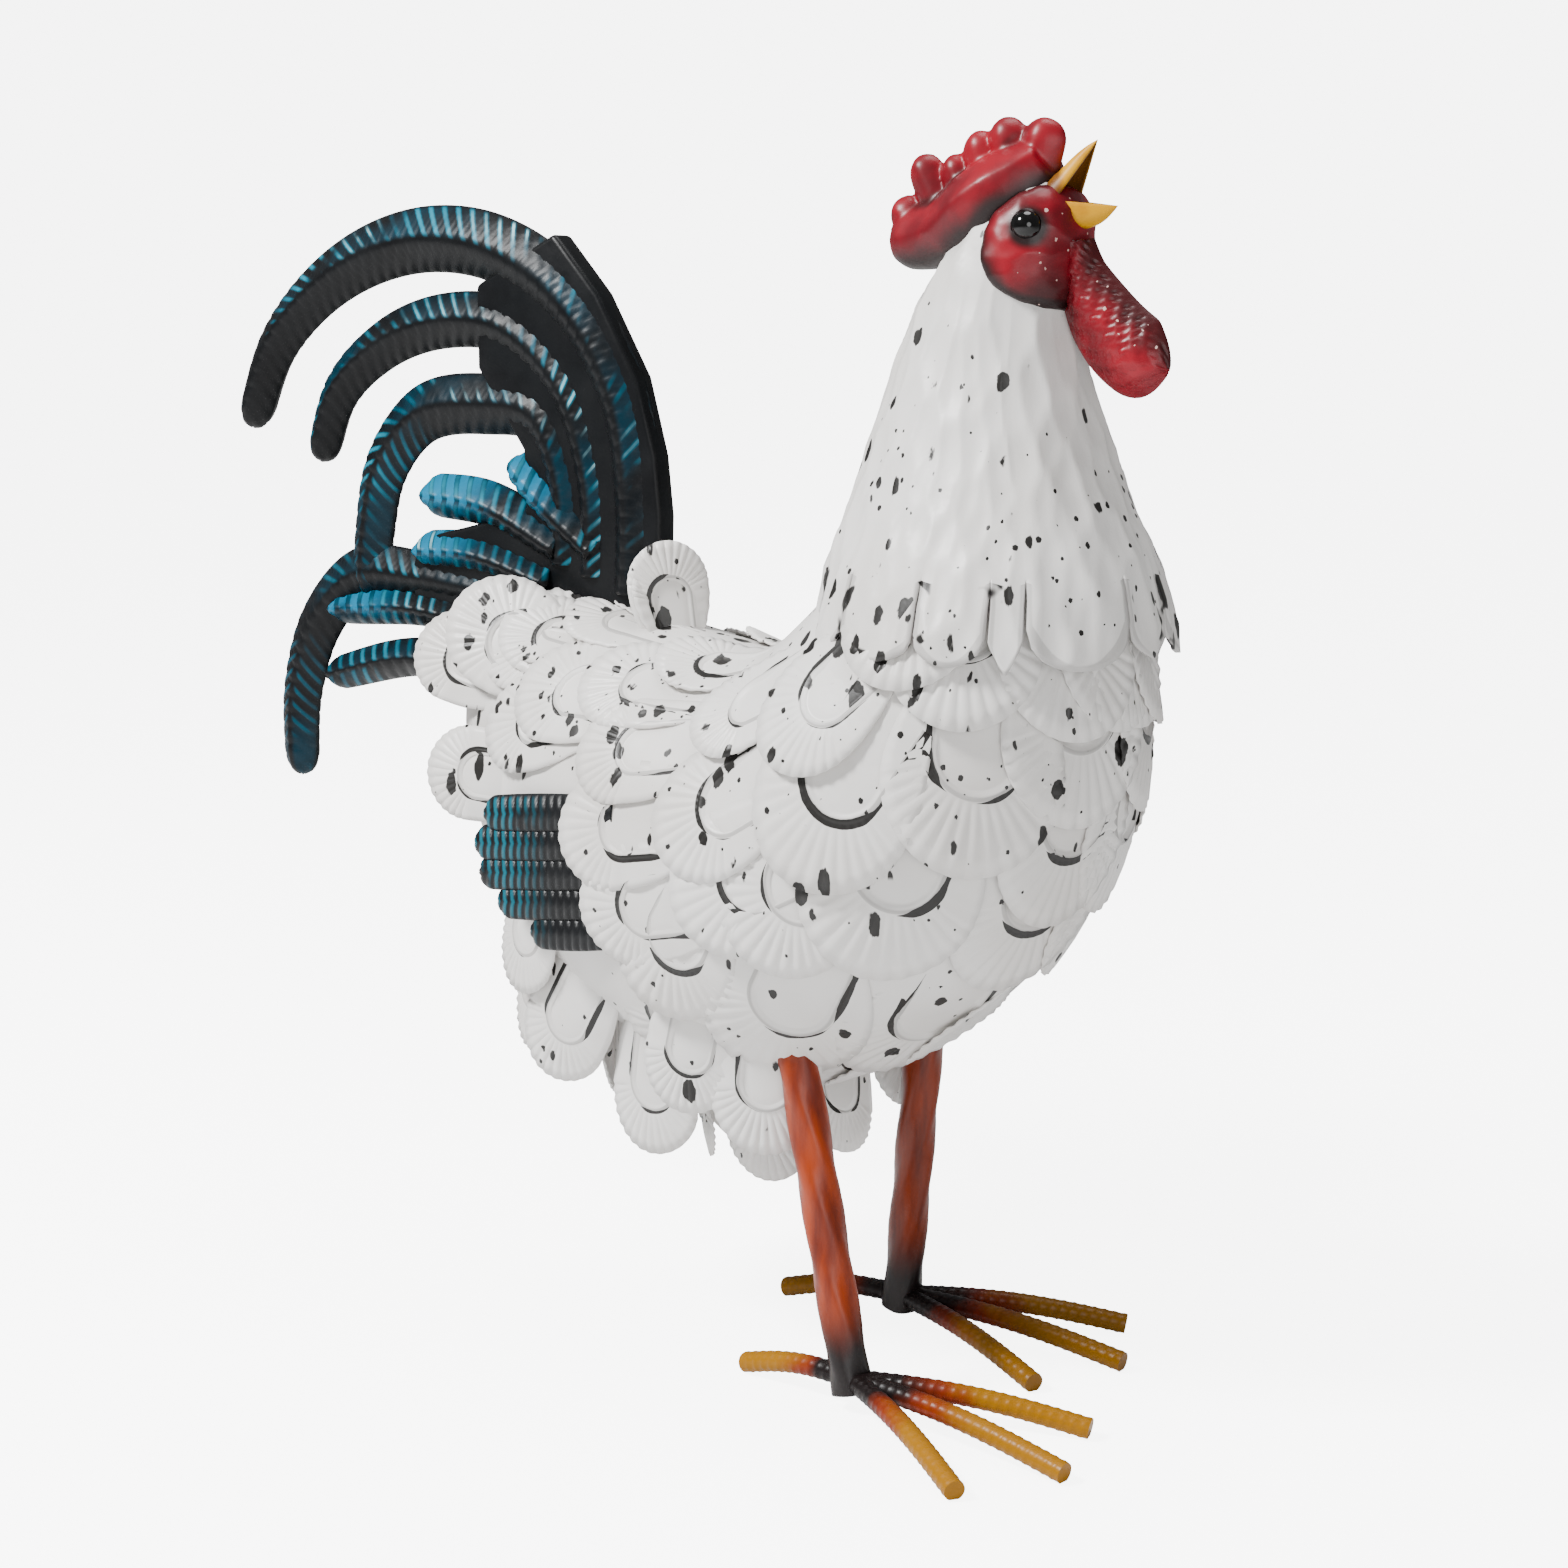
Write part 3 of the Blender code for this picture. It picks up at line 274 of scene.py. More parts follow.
# Stamped plate, in its own plane: x across, y along, both in metres. The hub is the
# middle of the round end of its smooth oval; lengths below are in half widths
RIM_STEPS = 76
SIDE_STEPS = 14
INNER_RINGS = (0.0, 0.24, 0.40, 0.455, 0.485, 0.515, 0.55)
OUTER_RINGS = np.array((0.2, 0.45, 0.72, 1.0))
TIP_ROUND = 1.04
HUB_TO_TIP = 1.38
ROOT_WIDTH = 0.62
WIDEST_AT = 0.55
OVAL = 0.485
OVAL_STEP = 0.0014
PLEATS = 19.0
PLEAT_DEPTH = 0.0009


def plate_outline(half, length):
    """Rim points from one root corner round the tip to the other, with the point of the
    middle line that each is ruled to and its angle round the hub."""
    hub_y = length - min(HUB_TO_TIP * half, 0.85 * length)
    round_y = length - TIP_ROUND * half
    turns = np.linspace(-math.pi / 2, math.pi / 2, RIM_STEPS + 1)
    tip = np.stack((half * np.sin(turns), round_y + TIP_ROUND * half * np.cos(turns)), axis=1)
    down = np.linspace(0.0, round_y, SIDE_STEPS + 1)[:-1]
    growth = np.sin(np.minimum(1.0, down / (WIDEST_AT * length)) * math.pi / 2)
    narrow = ROOT_WIDTH + (1 - ROOT_WIDTH) * growth
    side = np.stack((-half * narrow, down), axis=1)
    rim = np.concatenate((side, tip, side[::-1] * (-1, 1)))
    hub = np.stack((0 * rim[:, 0], np.minimum(rim[:, 1], hub_y)), axis=1)
    above = np.maximum(0.0, hub_y - rim[:, 1]) / half
    angle = np.arctan2(rim[:, 0], np.maximum(1e-9, rim[:, 1] - hub_y)) + np.sign(rim[:, 0]) * above
    return rim, hub, angle


class Coat:
    """Gathers bent plates into one mesh with a 'stamp' attribute: distance from the hub in
    half widths, angle round the hub in radians, and the plate's own number."""

    def __init__(self):
        self.points = []
        self.stamps = []
        self.faces = []
        self.count = 0

    def add(self, spine, half, length, lift, cup, roll=0.0, mirrored=False):
        rim, hub, angle = plate_outline(half, length)
        reach = np.linalg.norm(rim - hub, axis=1, keepdims=True) / half
        inner = np.tile(INNER_RINGS, (len(rim), 1))
        gaps = np.concatenate((inner, inner[:, -1:] + (reach - inner[:, -1:]) * OUTER_RINGS), axis=1)
        flat = hub[:, None, :] + (rim - hub)[:, None, :] * (gaps / reach)[..., None]
        points, normals, tangents = spine
        stations = np.linspace(0.0, length, len(points))
        y = np.clip(flat[..., 1], 0.0, length)
        at = [np.stack([np.interp(y, stations, column[:, k]) for k in range(3)], axis=-1)
              for column in (points, normals, tangents)]
        over = flat[..., 1] - y
        normal = at[1] / np.linalg.norm(at[1], axis=-1, keepdims=True)
        side = np.cross(normal, at[2])
        side /= np.linalg.norm(side, axis=-1, keepdims=True)
        x = flat[..., 0]
        rise = lift[0] + (lift[1] - lift[0]) * (y / length) ** 1.5 - cup * x * x + roll * x
        spots = at[0] + at[2] * over[..., None] + side * x[..., None] + normal * rise[..., None]
        stamp = np.stack(np.broadcast_arrays(gaps, angle[:, None], RNG.random()), axis=-1)
        if mirrored:
            spots = spots * (1, -1, 1)
        rows, columns = x.shape
        base = self.count
        self.points.append(spots.reshape(-1, 3))
        self.stamps.append(stamp.reshape(-1, 3))
        self.count += rows * columns
        grid = base + np.arange(rows * columns).reshape(rows, columns)
        for i in range(rows - 1):
            for j in range(columns - 1):
                face = (grid[i, j], grid[i + 1, j], grid[i + 1, j + 1], grid[i, j + 1])
                self.faces.append(face[::-1] if mirrored else face)

    def mesh(self, name):
        marks = {"stamp": np.concatenate(self.stamps)}
        thing = add_mesh(name, np.concatenate(self.points), self.faces, attributes=marks)
        return join_points(thing, outward=False)


def stamp_tree():
    """Presses pleats into the rim of each plate, and a step round its smooth oval."""
    tree, given = shape_tree("feather_stamp", {
        "Pleats": PLEATS, "Pleat Depth": PLEAT_DEPTH, "Oval": OVAL, "Oval Step": OVAL_STEP})
    gap, angle, _ = named(tree, "stamp").parts()
    fold = ((angle * given["Pleats"] / math.pi).fract() - 0.5).abs() * 2.0
    fluted = gap.step(0.52, 0.85) * (fold - 0.6) * given["Pleat Depth"]
    groove = 1.0 - ((gap - given["Oval"]).abs() / 0.03).at_most(1.0)
    inside = (given["Oval"] - gap).step(-0.02, 0.03)
    step = (inside * 0.7 - groove * 0.7) * given["Oval Step"]
    return pressed(tree, given, fluted + step)


# Feathers on the shell. Tip's ring angle and way round, heading, length, half width
COAT_ROWS = {
    "belly": (
        (74, 4, 14, 0.078, 0.034), (73, 34, 28, 0.076, 0.033), (80, 58, 34, 0.066, 0.028),
        (83, 22, 16, 0.066, 0.030), (66.5, 8, 8, 0.074, 0.034)),
    "flank": (
        (51, 14, 20, 0.076, 0.033), (55.5, 52, 28, 0.080, 0.034), (43.5, -12, 4, 0.074, 0.032),
        (70, 84, 66, 0.072, 0.028), (64, 68, 40, 0.070, 0.028)),
    "breast": (
        (41.5, 46, 10, 0.074, 0.033), (54, 81, 32, 0.076, 0.033), (34.5, 19, 6, 0.074, 0.031),
        (70.5, 101, 60, 0.068, 0.026)),
    "cape": (
        (30, 64, 4, 0.064, 0.0285), (27.5, 26, 6, 0.064, 0.0280), (31, 94, 18, 0.062, 0.0275),
        (48.5, 110, 42, 0.060, 0.025), (26.5, -6, 0, 0.060, 0.0270)),
    "wing": (
        (86, 80, 80, 0.066, 0.0240), (89.5, 98, 82, 0.070, 0.0245), (88.5, 118, 80, 0.068, 0.0220)),
    "back": (
        (131, 139, 108, 0.068, 0.0245), (112, 121, 96, 0.068, 0.0235), (96, 139, 92, 0.064, 0.0225),
        (115, 99, 86, 0.064, 0.0220), (80, 158, 88, 0.054, 0.0200), (63, 132, 66, 0.056, 0.0215),
        (119, 162, 98, 0.056, 0.0210), (127, 114, 96, 0.056, 0.0200)),
}


# How high the plates' roots and tips stand off the shell, and how bent and rolled they are
COAT_ROOT_LIFT = -0.0010
COAT_TIP_LIFT = 0.0044
COAT_STAGGER = 0.0008
COAT_CUP = 6.0
COAT_ROLL = 0.03


def coat_feathers(mirrored):
    coat = Coat()
    for row, feathers in COAT_ROWS.items():
        for k, (angle, around, heading, length, half) in enumerate(feathers):
            spine = spine_on_shell(angle, around, heading, length)
            lift = (COAT_ROOT_LIFT, COAT_TIP_LIFT + COAT_STAGGER * (k % 2))
            coat.add(spine, half, length, lift, COAT_CUP, COAT_ROLL, mirrored)
    return coat


# Plates that hang free: ring angle and way round of the root, heading, length, half width
HANGING = (
    ((92, 50), 32, 0.064, 0.0210), ((84, 40), 10, 0.066, 0.0215), ((101, 48), 12, 0.064, 0.0195),
    ((100, 62), 22, 0.052, 0.0190), ((76, 22), -4, 0.060, 0.0190), ((70, 40), 8, 0.062, 0.0215),
    ((76, 52), 16, 0.056, 0.0195), ((86, 14), -8, 0.056, 0.0180), ((98, 16), -10, 0.056, 0.0180),
    ((108, 24), 4, 0.058, 0.0185), ((90, 30), 2, 0.062, 0.0190),
)
TAIL_COVERTS = (
    ((118, 130), 122, 0.060, 0.0240), ((124, 108), 104, 0.060, 0.0195), ((112, 146), 112, 0.048, 0.0200),
    ((108, 92), 92, 0.058, 0.0190),
)


# For each of these tables: lean to the right, how deep the roots sink, droop and cup
FREE_ROWS = ((HANGING, 0.0, 0.014, 0.004, 9.0), (TAIL_COVERTS, 0.10, 0.016, 0.003, 7.0))
ROOT_INSET = 0.001


def hanging_feathers(mirrored):
    coat = Coat()
    for table, lean, sink, droop, cup in FREE_ROWS:
        for (station, around), heading, length, half in table:
            root, normal, _, _ = skin_frame(station, around)
            tangent = unit(heading_line(heading) - np.array((0.0, lean, 0.0)))
            outward = unit(normal - tangent * normal.dot(tangent))
            start = root - tangent * sink - outward * ROOT_INSET
            spine = straight_spine(start, outward, tangent, length, droop)
            coat.add(spine, half, length, (0.0, 0.0), cup, mirrored=mirrored)
    return coat


# The one feather that stands up in front of the tail, turned a little to the right
PLUME_ROOT = np.array((-0.098, -0.004, 0.186))
PLUMES = ((172, 0.043, 0.0165, -38), (160, 0.036, 0.0130, -10))


def plume():
    coat = Coat()
    for lean, length, half, facing in PLUMES:
        tangent = heading_line(lean)
        turn = math.radians(facing)
        outward = np.array((math.cos(turn), math.sin(turn), 0.0))
        outward = unit(outward - tangent * outward.dot(tangent))
        coat.add(straight_spine(PLUME_ROOT, outward, tangent, length, 0.002), half, length, (0.0, 0.0), 10.0)
    return coat


def add_mesh(name, points, faces, offset=UPPER, attributes=None, edges=()):
    """A mesh object at the origin with its place in its vertices."""
    mesh = bpy.data.meshes.new(name)
    faces = [list(map(int, face)) for face in faces]
    mesh.from_pydata((np.asarray(points) + offset).tolist(), list(edges), faces)
    for label, values in (attributes or {}).items():
        layer = mesh.attributes.new(label, "FLOAT_VECTOR", "POINT")
        layer.data.foreach_set("vector", np.asarray(values, np.float32).ravel())
    mesh.shade_smooth()
    return in_scene(name, mesh)


def join_points(thing, distance=1e-6, outward=True):
    """Merge points that meet and, if asked, turn all faces away from the inside."""
    bm = bmesh.new()
    bm.from_mesh(thing.data)
    bmesh.ops.remove_doubles(bm, verts=bm.verts, dist=distance)
    if outward:
        bmesh.ops.recalc_face_normals(bm, faces=bm.faces)
        if bm.calc_volume(signed=True) < 0:
            bmesh.ops.reverse_faces(bm, faces=bm.faces)
    bm.to_mesh(thing.data)
    bm.free()
    thing.data.shade_smooth()
    return thing


def grid_faces(rows, columns, closed=False, base=0):
    faces = []
    for i in range(rows - 1):
        for j in range(columns if closed else columns - 1):
            k = (j + 1) % columns
            faces.append((base + i * columns + j, base + i * columns + k,
                          base + (i + 1) * columns + k, base + (i + 1) * columns + j))
    return faces


def tube_faces(rows, columns, base=0):
    """Faces of a tube of rings, with one face over each end."""
    last = base + (rows - 1) * columns
    ends = [tuple(range(base, base + columns))[::-1], tuple(range(last, last + columns))]
    return grid_faces(rows, columns, closed=True, base=base) + ends


SHELL_ROWS = 60
SHELL_COLUMNS = 72


def body_shell():
    """The bent egg under the feathers, closed at both ends."""
    levels = np.linspace(BODY_RINGS[0, 0], BODY_RINGS[-1, 0], SHELL_ROWS)
    turns = np.linspace(0, 360, SHELL_COLUMNS, endpoint=False)
    points = [body_skin(level, turn) for level in levels for turn in turns]
    return join_points(add_mesh("body_shell", points, tube_faces(SHELL_ROWS, SHELL_COLUMNS)))


# Neck sheet: its hem is cut into tongues, each with the way round of its two edges,
# the height of its tip, how far its corners are above the tip, and how pointed it is
SLIT_TOP = 0.2290
HEM_FLARE = 0.20
TONGUES = (
    (-11.3, 11.3, 0.1985, 0.012, 0.3), (11.3, 48.5, 0.1965, 0.015, 0.0), (48.5, 60.0, 0.1955, 0.012, 0.9),
    (60.0, 84.0, 0.1980, 0.011, 0.1), (84.0, 114.0, 0.1975, 0.008, 0.2), (114.0, 138.0, 0.1985, 0.010, 0.4),
    (138.0, 160.0, 0.1985, 0.010, 0.4), (160.0, 180.0, 0.1985, 0.010, 0.4),
)
TONGUE_COLUMNS = 22
TONGUE_ROWS = 12
SLIT_HALF_WIDTH = 0.45
NECK_DEGREE = 0.0011
NECK_HAMMER = {"Blows": 120.0, "Blow Depth": 0.0026, "Waves": 60.0, "Wave Depth": 0.0022, "Stretch": 0.30}


def hem_skin(height, around):
    lowest = NECK_RINGS[0][0]
    point = neck_skin(max(height, lowest), around, 0.0006)
    outward = unit(point - np.array((NECK_RINGS[0][1], 0.0, point[2])))
    drop = max(0.0, lowest - height)
    return point + outward * HEM_FLARE * drop - np.array((0.0, 0.0, drop))


def neck_sheet():
    tongues = list(TONGUES) + [(-b, -a, *rest) for a, b, *rest in TONGUES[:0:-1]]
    tongues = sorted(tongues)
    points, faces, marks = [], [], []
    heights = np.concatenate((np.linspace(SLIT_TOP, 0.355, 46), np.linspace(0.357, 0.3668, 6)))
    for k, (start, end, tip, corner, point_share) in enumerate(tongues):
        across = np.linspace(-1.0, 1.0, TONGUE_COLUMNS)
        middle, half = (start + end) / 2, (end - start) / 2
        rows = []
        for height in heights[::-1]:
            rows.append([(neck_skin(height, middle + half * t, 0.0006), height, t) for t in across])
        for i in range(1, TONGUE_ROWS + 1):
            share = i / TONGUE_ROWS
            row = []
            for t in across:
                curve = (1 - math.sqrt(max(0.0, 1 - t * t))) * (1 - point_share) + abs(t) * point_share
                bottom = tip + corner * curve
                turn = middle + t * (half - SLIT_HALF_WIDTH * min(1.0, 2.5 * share))
                height = SLIT_TOP + (bottom - SLIT_TOP) * share
                row.append((hem_skin(height, turn), height, t))
            rows.append(row)
        base = len(points)
        for row in rows:
            for spot, height, t in row:
                points.append(spot)
                drop = height - tip - corner * min(1.0, 1.2 * t * t)
                gap = half * (1 - abs(t)) * NECK_DEGREE if height < SLIT_TOP else 1.0
                marks.append((min(max(drop, 0.0), gap), t, k * 0.37 % 1.0))
        faces += grid_faces(len(rows), TONGUE_COLUMNS, base=base)
        crown = len(points)
        points.append(np.array((0.0690, 0.0, 0.3674)))
        marks.append((1.0, 0.0, 0.0))
        faces += [(base + j, base + j + 1, crown) for j in range(TONGUE_COLUMNS - 1)]
    sheet = add_mesh("neck_sheet", points, faces, attributes={"hem": marks})
    return join_points(sheet, 2e-5)


# Blades of the tail: path of (x, z) points, half width, half thickness, where it is
# widest, width at root and tip as shares, and how blue its tip is painted
TAIL_BLADES = (
    (((-0.122, 0.206), (-0.121, 0.240), (-0.128, 0.284), (-0.146, 0.313), (-0.170, 0.333),
      (-0.200, 0.345), (-0.232, 0.348), (-0.266, 0.342), (-0.300, 0.326), (-0.326, 0.303),
      (-0.3445, 0.266)), 0.0142, 0.0100, 0.45, 0.85, 0.62, 0.30),
    (((-0.142, 0.212), (-0.143, 0.250), (-0.158, 0.289), (-0.190, 0.312), (-0.226, 0.314),
      (-0.262, 0.303), (-0.288, 0.283), (-0.3015, 0.2525)), 0.0118, 0.0088, 0.45, 0.85, 0.72, 0.20),
    (((-0.158, 0.216), (-0.158, 0.248), (-0.172, 0.276), (-0.203, 0.280), (-0.240, 0.274),
      (-0.262, 0.251), (-0.270, 0.222), (-0.273, 0.195)), 0.0128, 0.0088, 0.45, 0.85, 0.80, 0.48),
    (((-0.205, 0.202), (-0.240, 0.205), (-0.280, 0.203), (-0.305, 0.180), (-0.317, 0.150),
      (-0.319, 0.111)), 0.0122, 0.0080, 0.60, 0.80, 0.80, 0.46),
    (((-0.140, 0.222), (-0.165, 0.240), (-0.186, 0.258)), 0.0100, 0.0120, 0.60, 0.85, 0.90, 1.0),
    (((-0.160, 0.222), (-0.200, 0.238), (-0.238, 0.241)), 0.0100, 0.0115, 0.60, 0.85, 0.90, 1.0),
    (((-0.165, 0.208), (-0.205, 0.217), (-0.242, 0.217)), 0.0090, 0.0125, 0.60, 0.85, 0.90, 0.9),
    (((-0.208, 0.189), (-0.245, 0.192), (-0.294, 0.188)), 0.0085, 0.0120, 0.55, 0.85, 0.80, 0.9),
    (((-0.208, 0.170), (-0.245, 0.170), (-0.298, 0.158)), 0.0085, 0.0105, 0.55, 0.85, 0.85, 0.45),
)
BLADE_SIDES = 28
END_ROUNDING = 0.9
END_STEPS = 12
BLADE_SECTION = 1.2
BLADE_STEP = 0.0010
BARB_PITCH = 0.0071
BARB_DEPTH = 0.0007
BARB_SLANT = 0.9
WEB_HALF_THICK = 0.0056
WEB_EDGE = 0.0022
TAIL_WEB = np.array((
    (-0.105, 0.150), (-0.1065, 0.205), (-0.1055, 0.238), (-0.108, 0.262), (-0.117, 0.293),
    (-0.137, 0.326), (-0.160, 0.350), (-0.185, 0.338), (-0.203, 0.329), (-0.203, 0.295),
    (-0.178, 0.262), (-0.177, 0.238), (-0.205, 0.230), (-0.238, 0.222), (-0.245, 0.205),
    (-0.238, 0.186), (-0.222, 0.164), (-0.170, 0.150)))


def sweep(points, faces, marks, path, half_width, half_thick, swell, root, tip, blue,
          step=BLADE_STEP, sides=BLADE_SIDES, slant=BARB_SLANT, section=1.7):
    """A folded blade with a ridge down the middle of each side and a blunt round tip."""
    path = np.array(path)
    stations = np.concatenate(([0.0], np.cumsum(np.linalg.norm(np.diff(path, axis=0), axis=1))))
    length = stations[-1]
    end = END_ROUNDING * half_width
    rounding = end * np.sin(np.linspace(0.0, 0.97 * math.pi / 2, END_STEPS))
    stops = np.concatenate((np.arange(0.0, length - end - 0.5 * step, step), length - end + rounding))
    centre = np.array([smooth(s, stations, path) for s in stops])
    ahead = np.gradient(centre, stops, axis=0)
    ahead /= np.linalg.norm(ahead, axis=1)[:, None]
    base = len(points)
    for stop, spot, (ahead_x, ahead_z) in zip(stops, centre, ahead):
        share = stop / length
        if share < swell:
            wide = 1 - (1 - root) * ((swell - share) / swell) ** 2
        else:
            wide = 1 - (1 - tip) * ((share - swell) / (1 - swell)) ** 2
        past = max(0.0, 1 - (length - stop) / end)
        closing = math.sqrt(max(0.02, 1 - past * past))
        half, thick = half_width * wide * closing, half_thick * closing
        for i in range(sides):
            turn = 2 * math.pi * i / sides
            across = math.cos(turn)
            out = math.copysign((1 - abs(across) ** section) ** 0.85 if abs(across) < 1 else 0.0, math.sin(turn))
            points.append((spot[0] - ahead_z * half * across, thick * out, spot[1] + ahead_x * half * across))
            marks.append((stop - slant * abs(across) * half_width, across, blue * min(1.0, share * 1.3)))
    faces += tube_faces(len(stops), sides, base)


def tail_feathers():
    points, faces, marks = [], [], []
    for path, half, thick, swell, root, tip, blue in TAIL_BLADES:
        sweep(points, faces, marks, path, half, thick, swell, root, tip, blue, section=BLADE_SECTION)
    return join_points(add_mesh("tail_feathers", points, faces, attributes={"barb": marks}))


def tail_web():
    """The black sheet that joins the blades, in the middle plane."""
    count = len(TAIL_WEB)
    points = [(x, y, z) for y in (-WEB_HALF_THICK, WEB_HALF_THICK) for x, z in TAIL_WEB]
    faces = [tuple(range(count)), tuple(range(count, 2 * count))[::-1]]
    faces += grid_faces(2, count, closed=True)
    web = add_mesh("tail_web", points, faces)
    join_points(web)
    edge = web.modifiers.new("rounded edge", "BEVEL")
    edge.width = WEB_EDGE
    edge.segments = 3
    edge.limit_method = "ANGLE"
    edge.angle_limit = math.radians(40)
    return web


def barb_tree():
    """Presses slanting barbs into both sides of each blade's middle ridge."""
    tree, given = shape_tree("pressed_barbs", {"Pitch": BARB_PITCH, "Depth": BARB_DEPTH})
    along, across, _ = named(tree, "barb").parts()
    phase = (along / given["Pitch"]).fract()
    wave = phase.step(0.0, 0.30) * phase.step(1.0, 0.75)
    side = across.abs()
    relief = (wave - 0.5) * side.step(0.03, 0.22) * side.step(1.0, 0.88) * given["Depth"]
    return pressed(tree, given, relief)


# Flight feathers under the wing covers, top one first: their lengths
FLIGHT_ROOT = (-0.074, -0.0715, 0.1310)
FLIGHT_LENGTHS = (0.0722, 0.0778, 0.0754, 0.0650, 0.0466)
FLIGHT_PITCH = 0.0118
FLIGHT_HALF_WIDTH = 0.0076
FLIGHT_HALF_THICK = 0.0030
FLIGHT_HEADING = 83
FLIGHT_TOE_IN = 0.06
FLIGHT_TILT = 0.14
RIB_PITCH = 0.0043


def flight_feathers(name, mirrored):
    """Narrow ribbed plates, each a little under the one above it."""
    points, faces, marks = [], [], []
    back = heading_line(FLIGHT_HEADING)
    for i, length in enumerate(FLIGHT_LENGTHS):
        root = np.array(FLIGHT_ROOT) - np.array((0.0, 0.0, FLIGHT_PITCH * i))
        path = [(root + back * length * s)[[0, 2]] for s in (0.0, 0.35, 0.7, 1.0)]
        first = len(points)
        sweep(points, faces, marks, path, FLIGHT_HALF_WIDTH, FLIGHT_HALF_THICK, 0.6, 0.80, 0.90, 0.0,
              step=0.0008, sides=32, slant=0.35)
        for k in range(first, len(points)):
            x, y, z = points[k]
            tilt = FLIGHT_TILT * (z - root[2] - (x - root[0]) * back[2] / back[0])
            points[k] = (x, y + root[1] + FLIGHT_TOE_IN * (root[0] - x) + tilt, z)
    points = np.array(points) * (1, -1 if mirrored else 1, 1)
    return join_points(add_mesh(name, points, faces, attributes={"barb": marks}))


# Legs: square bar twisted about its own line, from the foot up into the body
STANCE_HALF = 0.045
STRIDE = 0.020
LEG_FOOT = 0.0065
HIP = (-0.007, 0.041, HIP_HEIGHT + 0.026)
LEG_TOP = HIP_HEIGHT + 0.058
LEG_HALF = 0.0074
LEG_TWIST = math.radians(384)


def leg_line(side):
    foot = np.array((-side * STRIDE, side * STANCE_HALF, LEG_FOOT))
    hip = np.array((HIP[0], side * HIP[1], HIP[2]))
    return foot, foot + (hip - foot) * (LEG_TOP - LEG_FOOT) / (hip[2] - foot[2])


# Toes: ribbed rod from the foot of the leg to a square-cut end on the ground
ROD_RADIUS = 0.0040
BAR_SIDES = 24
TOE_ROOT_HEIGHT = 0.0115
TOE_FLAT = 0.0004
TOE_ARCH = 0.0030
TOE_OUT = {-1: math.radians(6.5), 1: math.radians(3.5)}
TOES = (("middle", 0.0, 0.103), ("outer", math.radians(25), 0.093),
        ("inner", math.radians(-25), 0.093), ("back", math.pi, 0.057))
TOE_RIB_PITCH = 0.0042
TOE_RIB_DEPTH = 0.00024
TOE_START = 0.055


def toe_line(side, turn, length):
    foot, _ = leg_line(side)
    aim = side * (turn + TOE_OUT[side])
    line = []
    for share in np.linspace(TOE_START, 1.0, 40):
        rise = TOE_ROOT_HEIGHT + (ROD_RADIUS - TOE_FLAT - TOE_ROOT_HEIGHT) * share
        rise += TOE_ARCH * math.sin(math.pi * share)
        line.append((foot[0] + length * share * math.cos(aim), foot[1] + length * share * math.sin(aim), rise))
    return line


def bar_tree():
    """Draws a bar along a line: round or square, twisted, and with ribs wound round it."""
    tree, given = shape_tree("drawn_bar", {
        "Half Width": 0.004, "Squareness": 2.0, "Twist": 0.0, "Start Turn": 0.0,
        "Rib Pitch": 0.004, "Rib Depth": 0.0, "Step": 0.001})
    line = made(tree, "GeometryNodeMeshToCurve", {"Mesh": given["Geometry"]})
    evened = made(tree, "GeometryNodeResampleCurve", {"Curve": line, "Length": given["Step"]}, mode="LENGTH")
    along = made(tree, "GeometryNodeSplineParameter", output="Length")
    tilt = along * given["Twist"] + given["Start Turn"]
    tilted = made(tree, "GeometryNodeSetCurveTilt", {"Curve": evened, "Tilt": tilt})
    ring = made(tree, "GeometryNodeCurvePrimitiveCircle", {"Resolution": BAR_SIDES, "Radius": 1.0})
    ring = stored(tree, ring, "around", made(tree, "GeometryNodeSplineParameter", output="Factor"))
    place = made(tree, "GeometryNodeInputPosition")
    x, y, _ = place.parts()
    power = given["Squareness"]
    reach = (x.abs() ** power + y.abs() ** power) ** (power ** -1.0 * -1.0)
    shaped = made(tree, "GeometryNodeSetPosition",
                  {"Geometry": ring, "Position": place.scaled(reach * given["Half Width"])})
    bar = made(tree, "GeometryNodeCurveToMesh", {
        "Curve": stored(tree, tilted, "along", along), "Profile Curve": shaped, "Fill Caps": True})
    smoothed = made(tree, "GeometryNodeSetShadeSmooth", {"Geometry": bar})
    wound = (named(tree, "along", "FLOAT") / given["Rib Pitch"] + named(tree, "around", "FLOAT")).fract()
    rib = (wound - 0.5).abs().step(0.30, 0.05)
    return pressed(tree, given, rib * given["Rib Depth"], smoothed)


def stored(tree, geometry, name, value):
    inputs = {"Geometry": geometry, "Name": name, "Value": value}
    return made(tree, "GeometryNodeStoreNamedAttribute", inputs)


def line_object(name, points):
    return add_mesh(name, points, [], LOWER, edges=[(i, i + 1) for i in range(len(points) - 1)])


def keep_above_ground(thing):
    for vert in thing.data.vertices:
        vert.co.z = max(vert.co.z, 0.0)


# Comb: a thick fold over the crown. Columns: x, height, reach up, reach down, half width
COMB_RIDGE = np.array((
    (0.0062, 0.3470, 0.0075, 0.0080, 0.0060), (0.0120, 0.3475, 0.0105, 0.0115, 0.0095),
    (0.0200, 0.3485, 0.0115, 0.0130, 0.0120), (0.0300, 0.3510, 0.0120, 0.0145, 0.0158),
    (0.0420, 0.3590, 0.0125, 0.0190, 0.0200), (0.0540, 0.3670, 0.0115, 0.0195, 0.0200),
    (0.0640, 0.3725, 0.0095, 0.0165, 0.0150), (0.0705, 0.3770, 0.0065, 0.0110, 0.0090)))
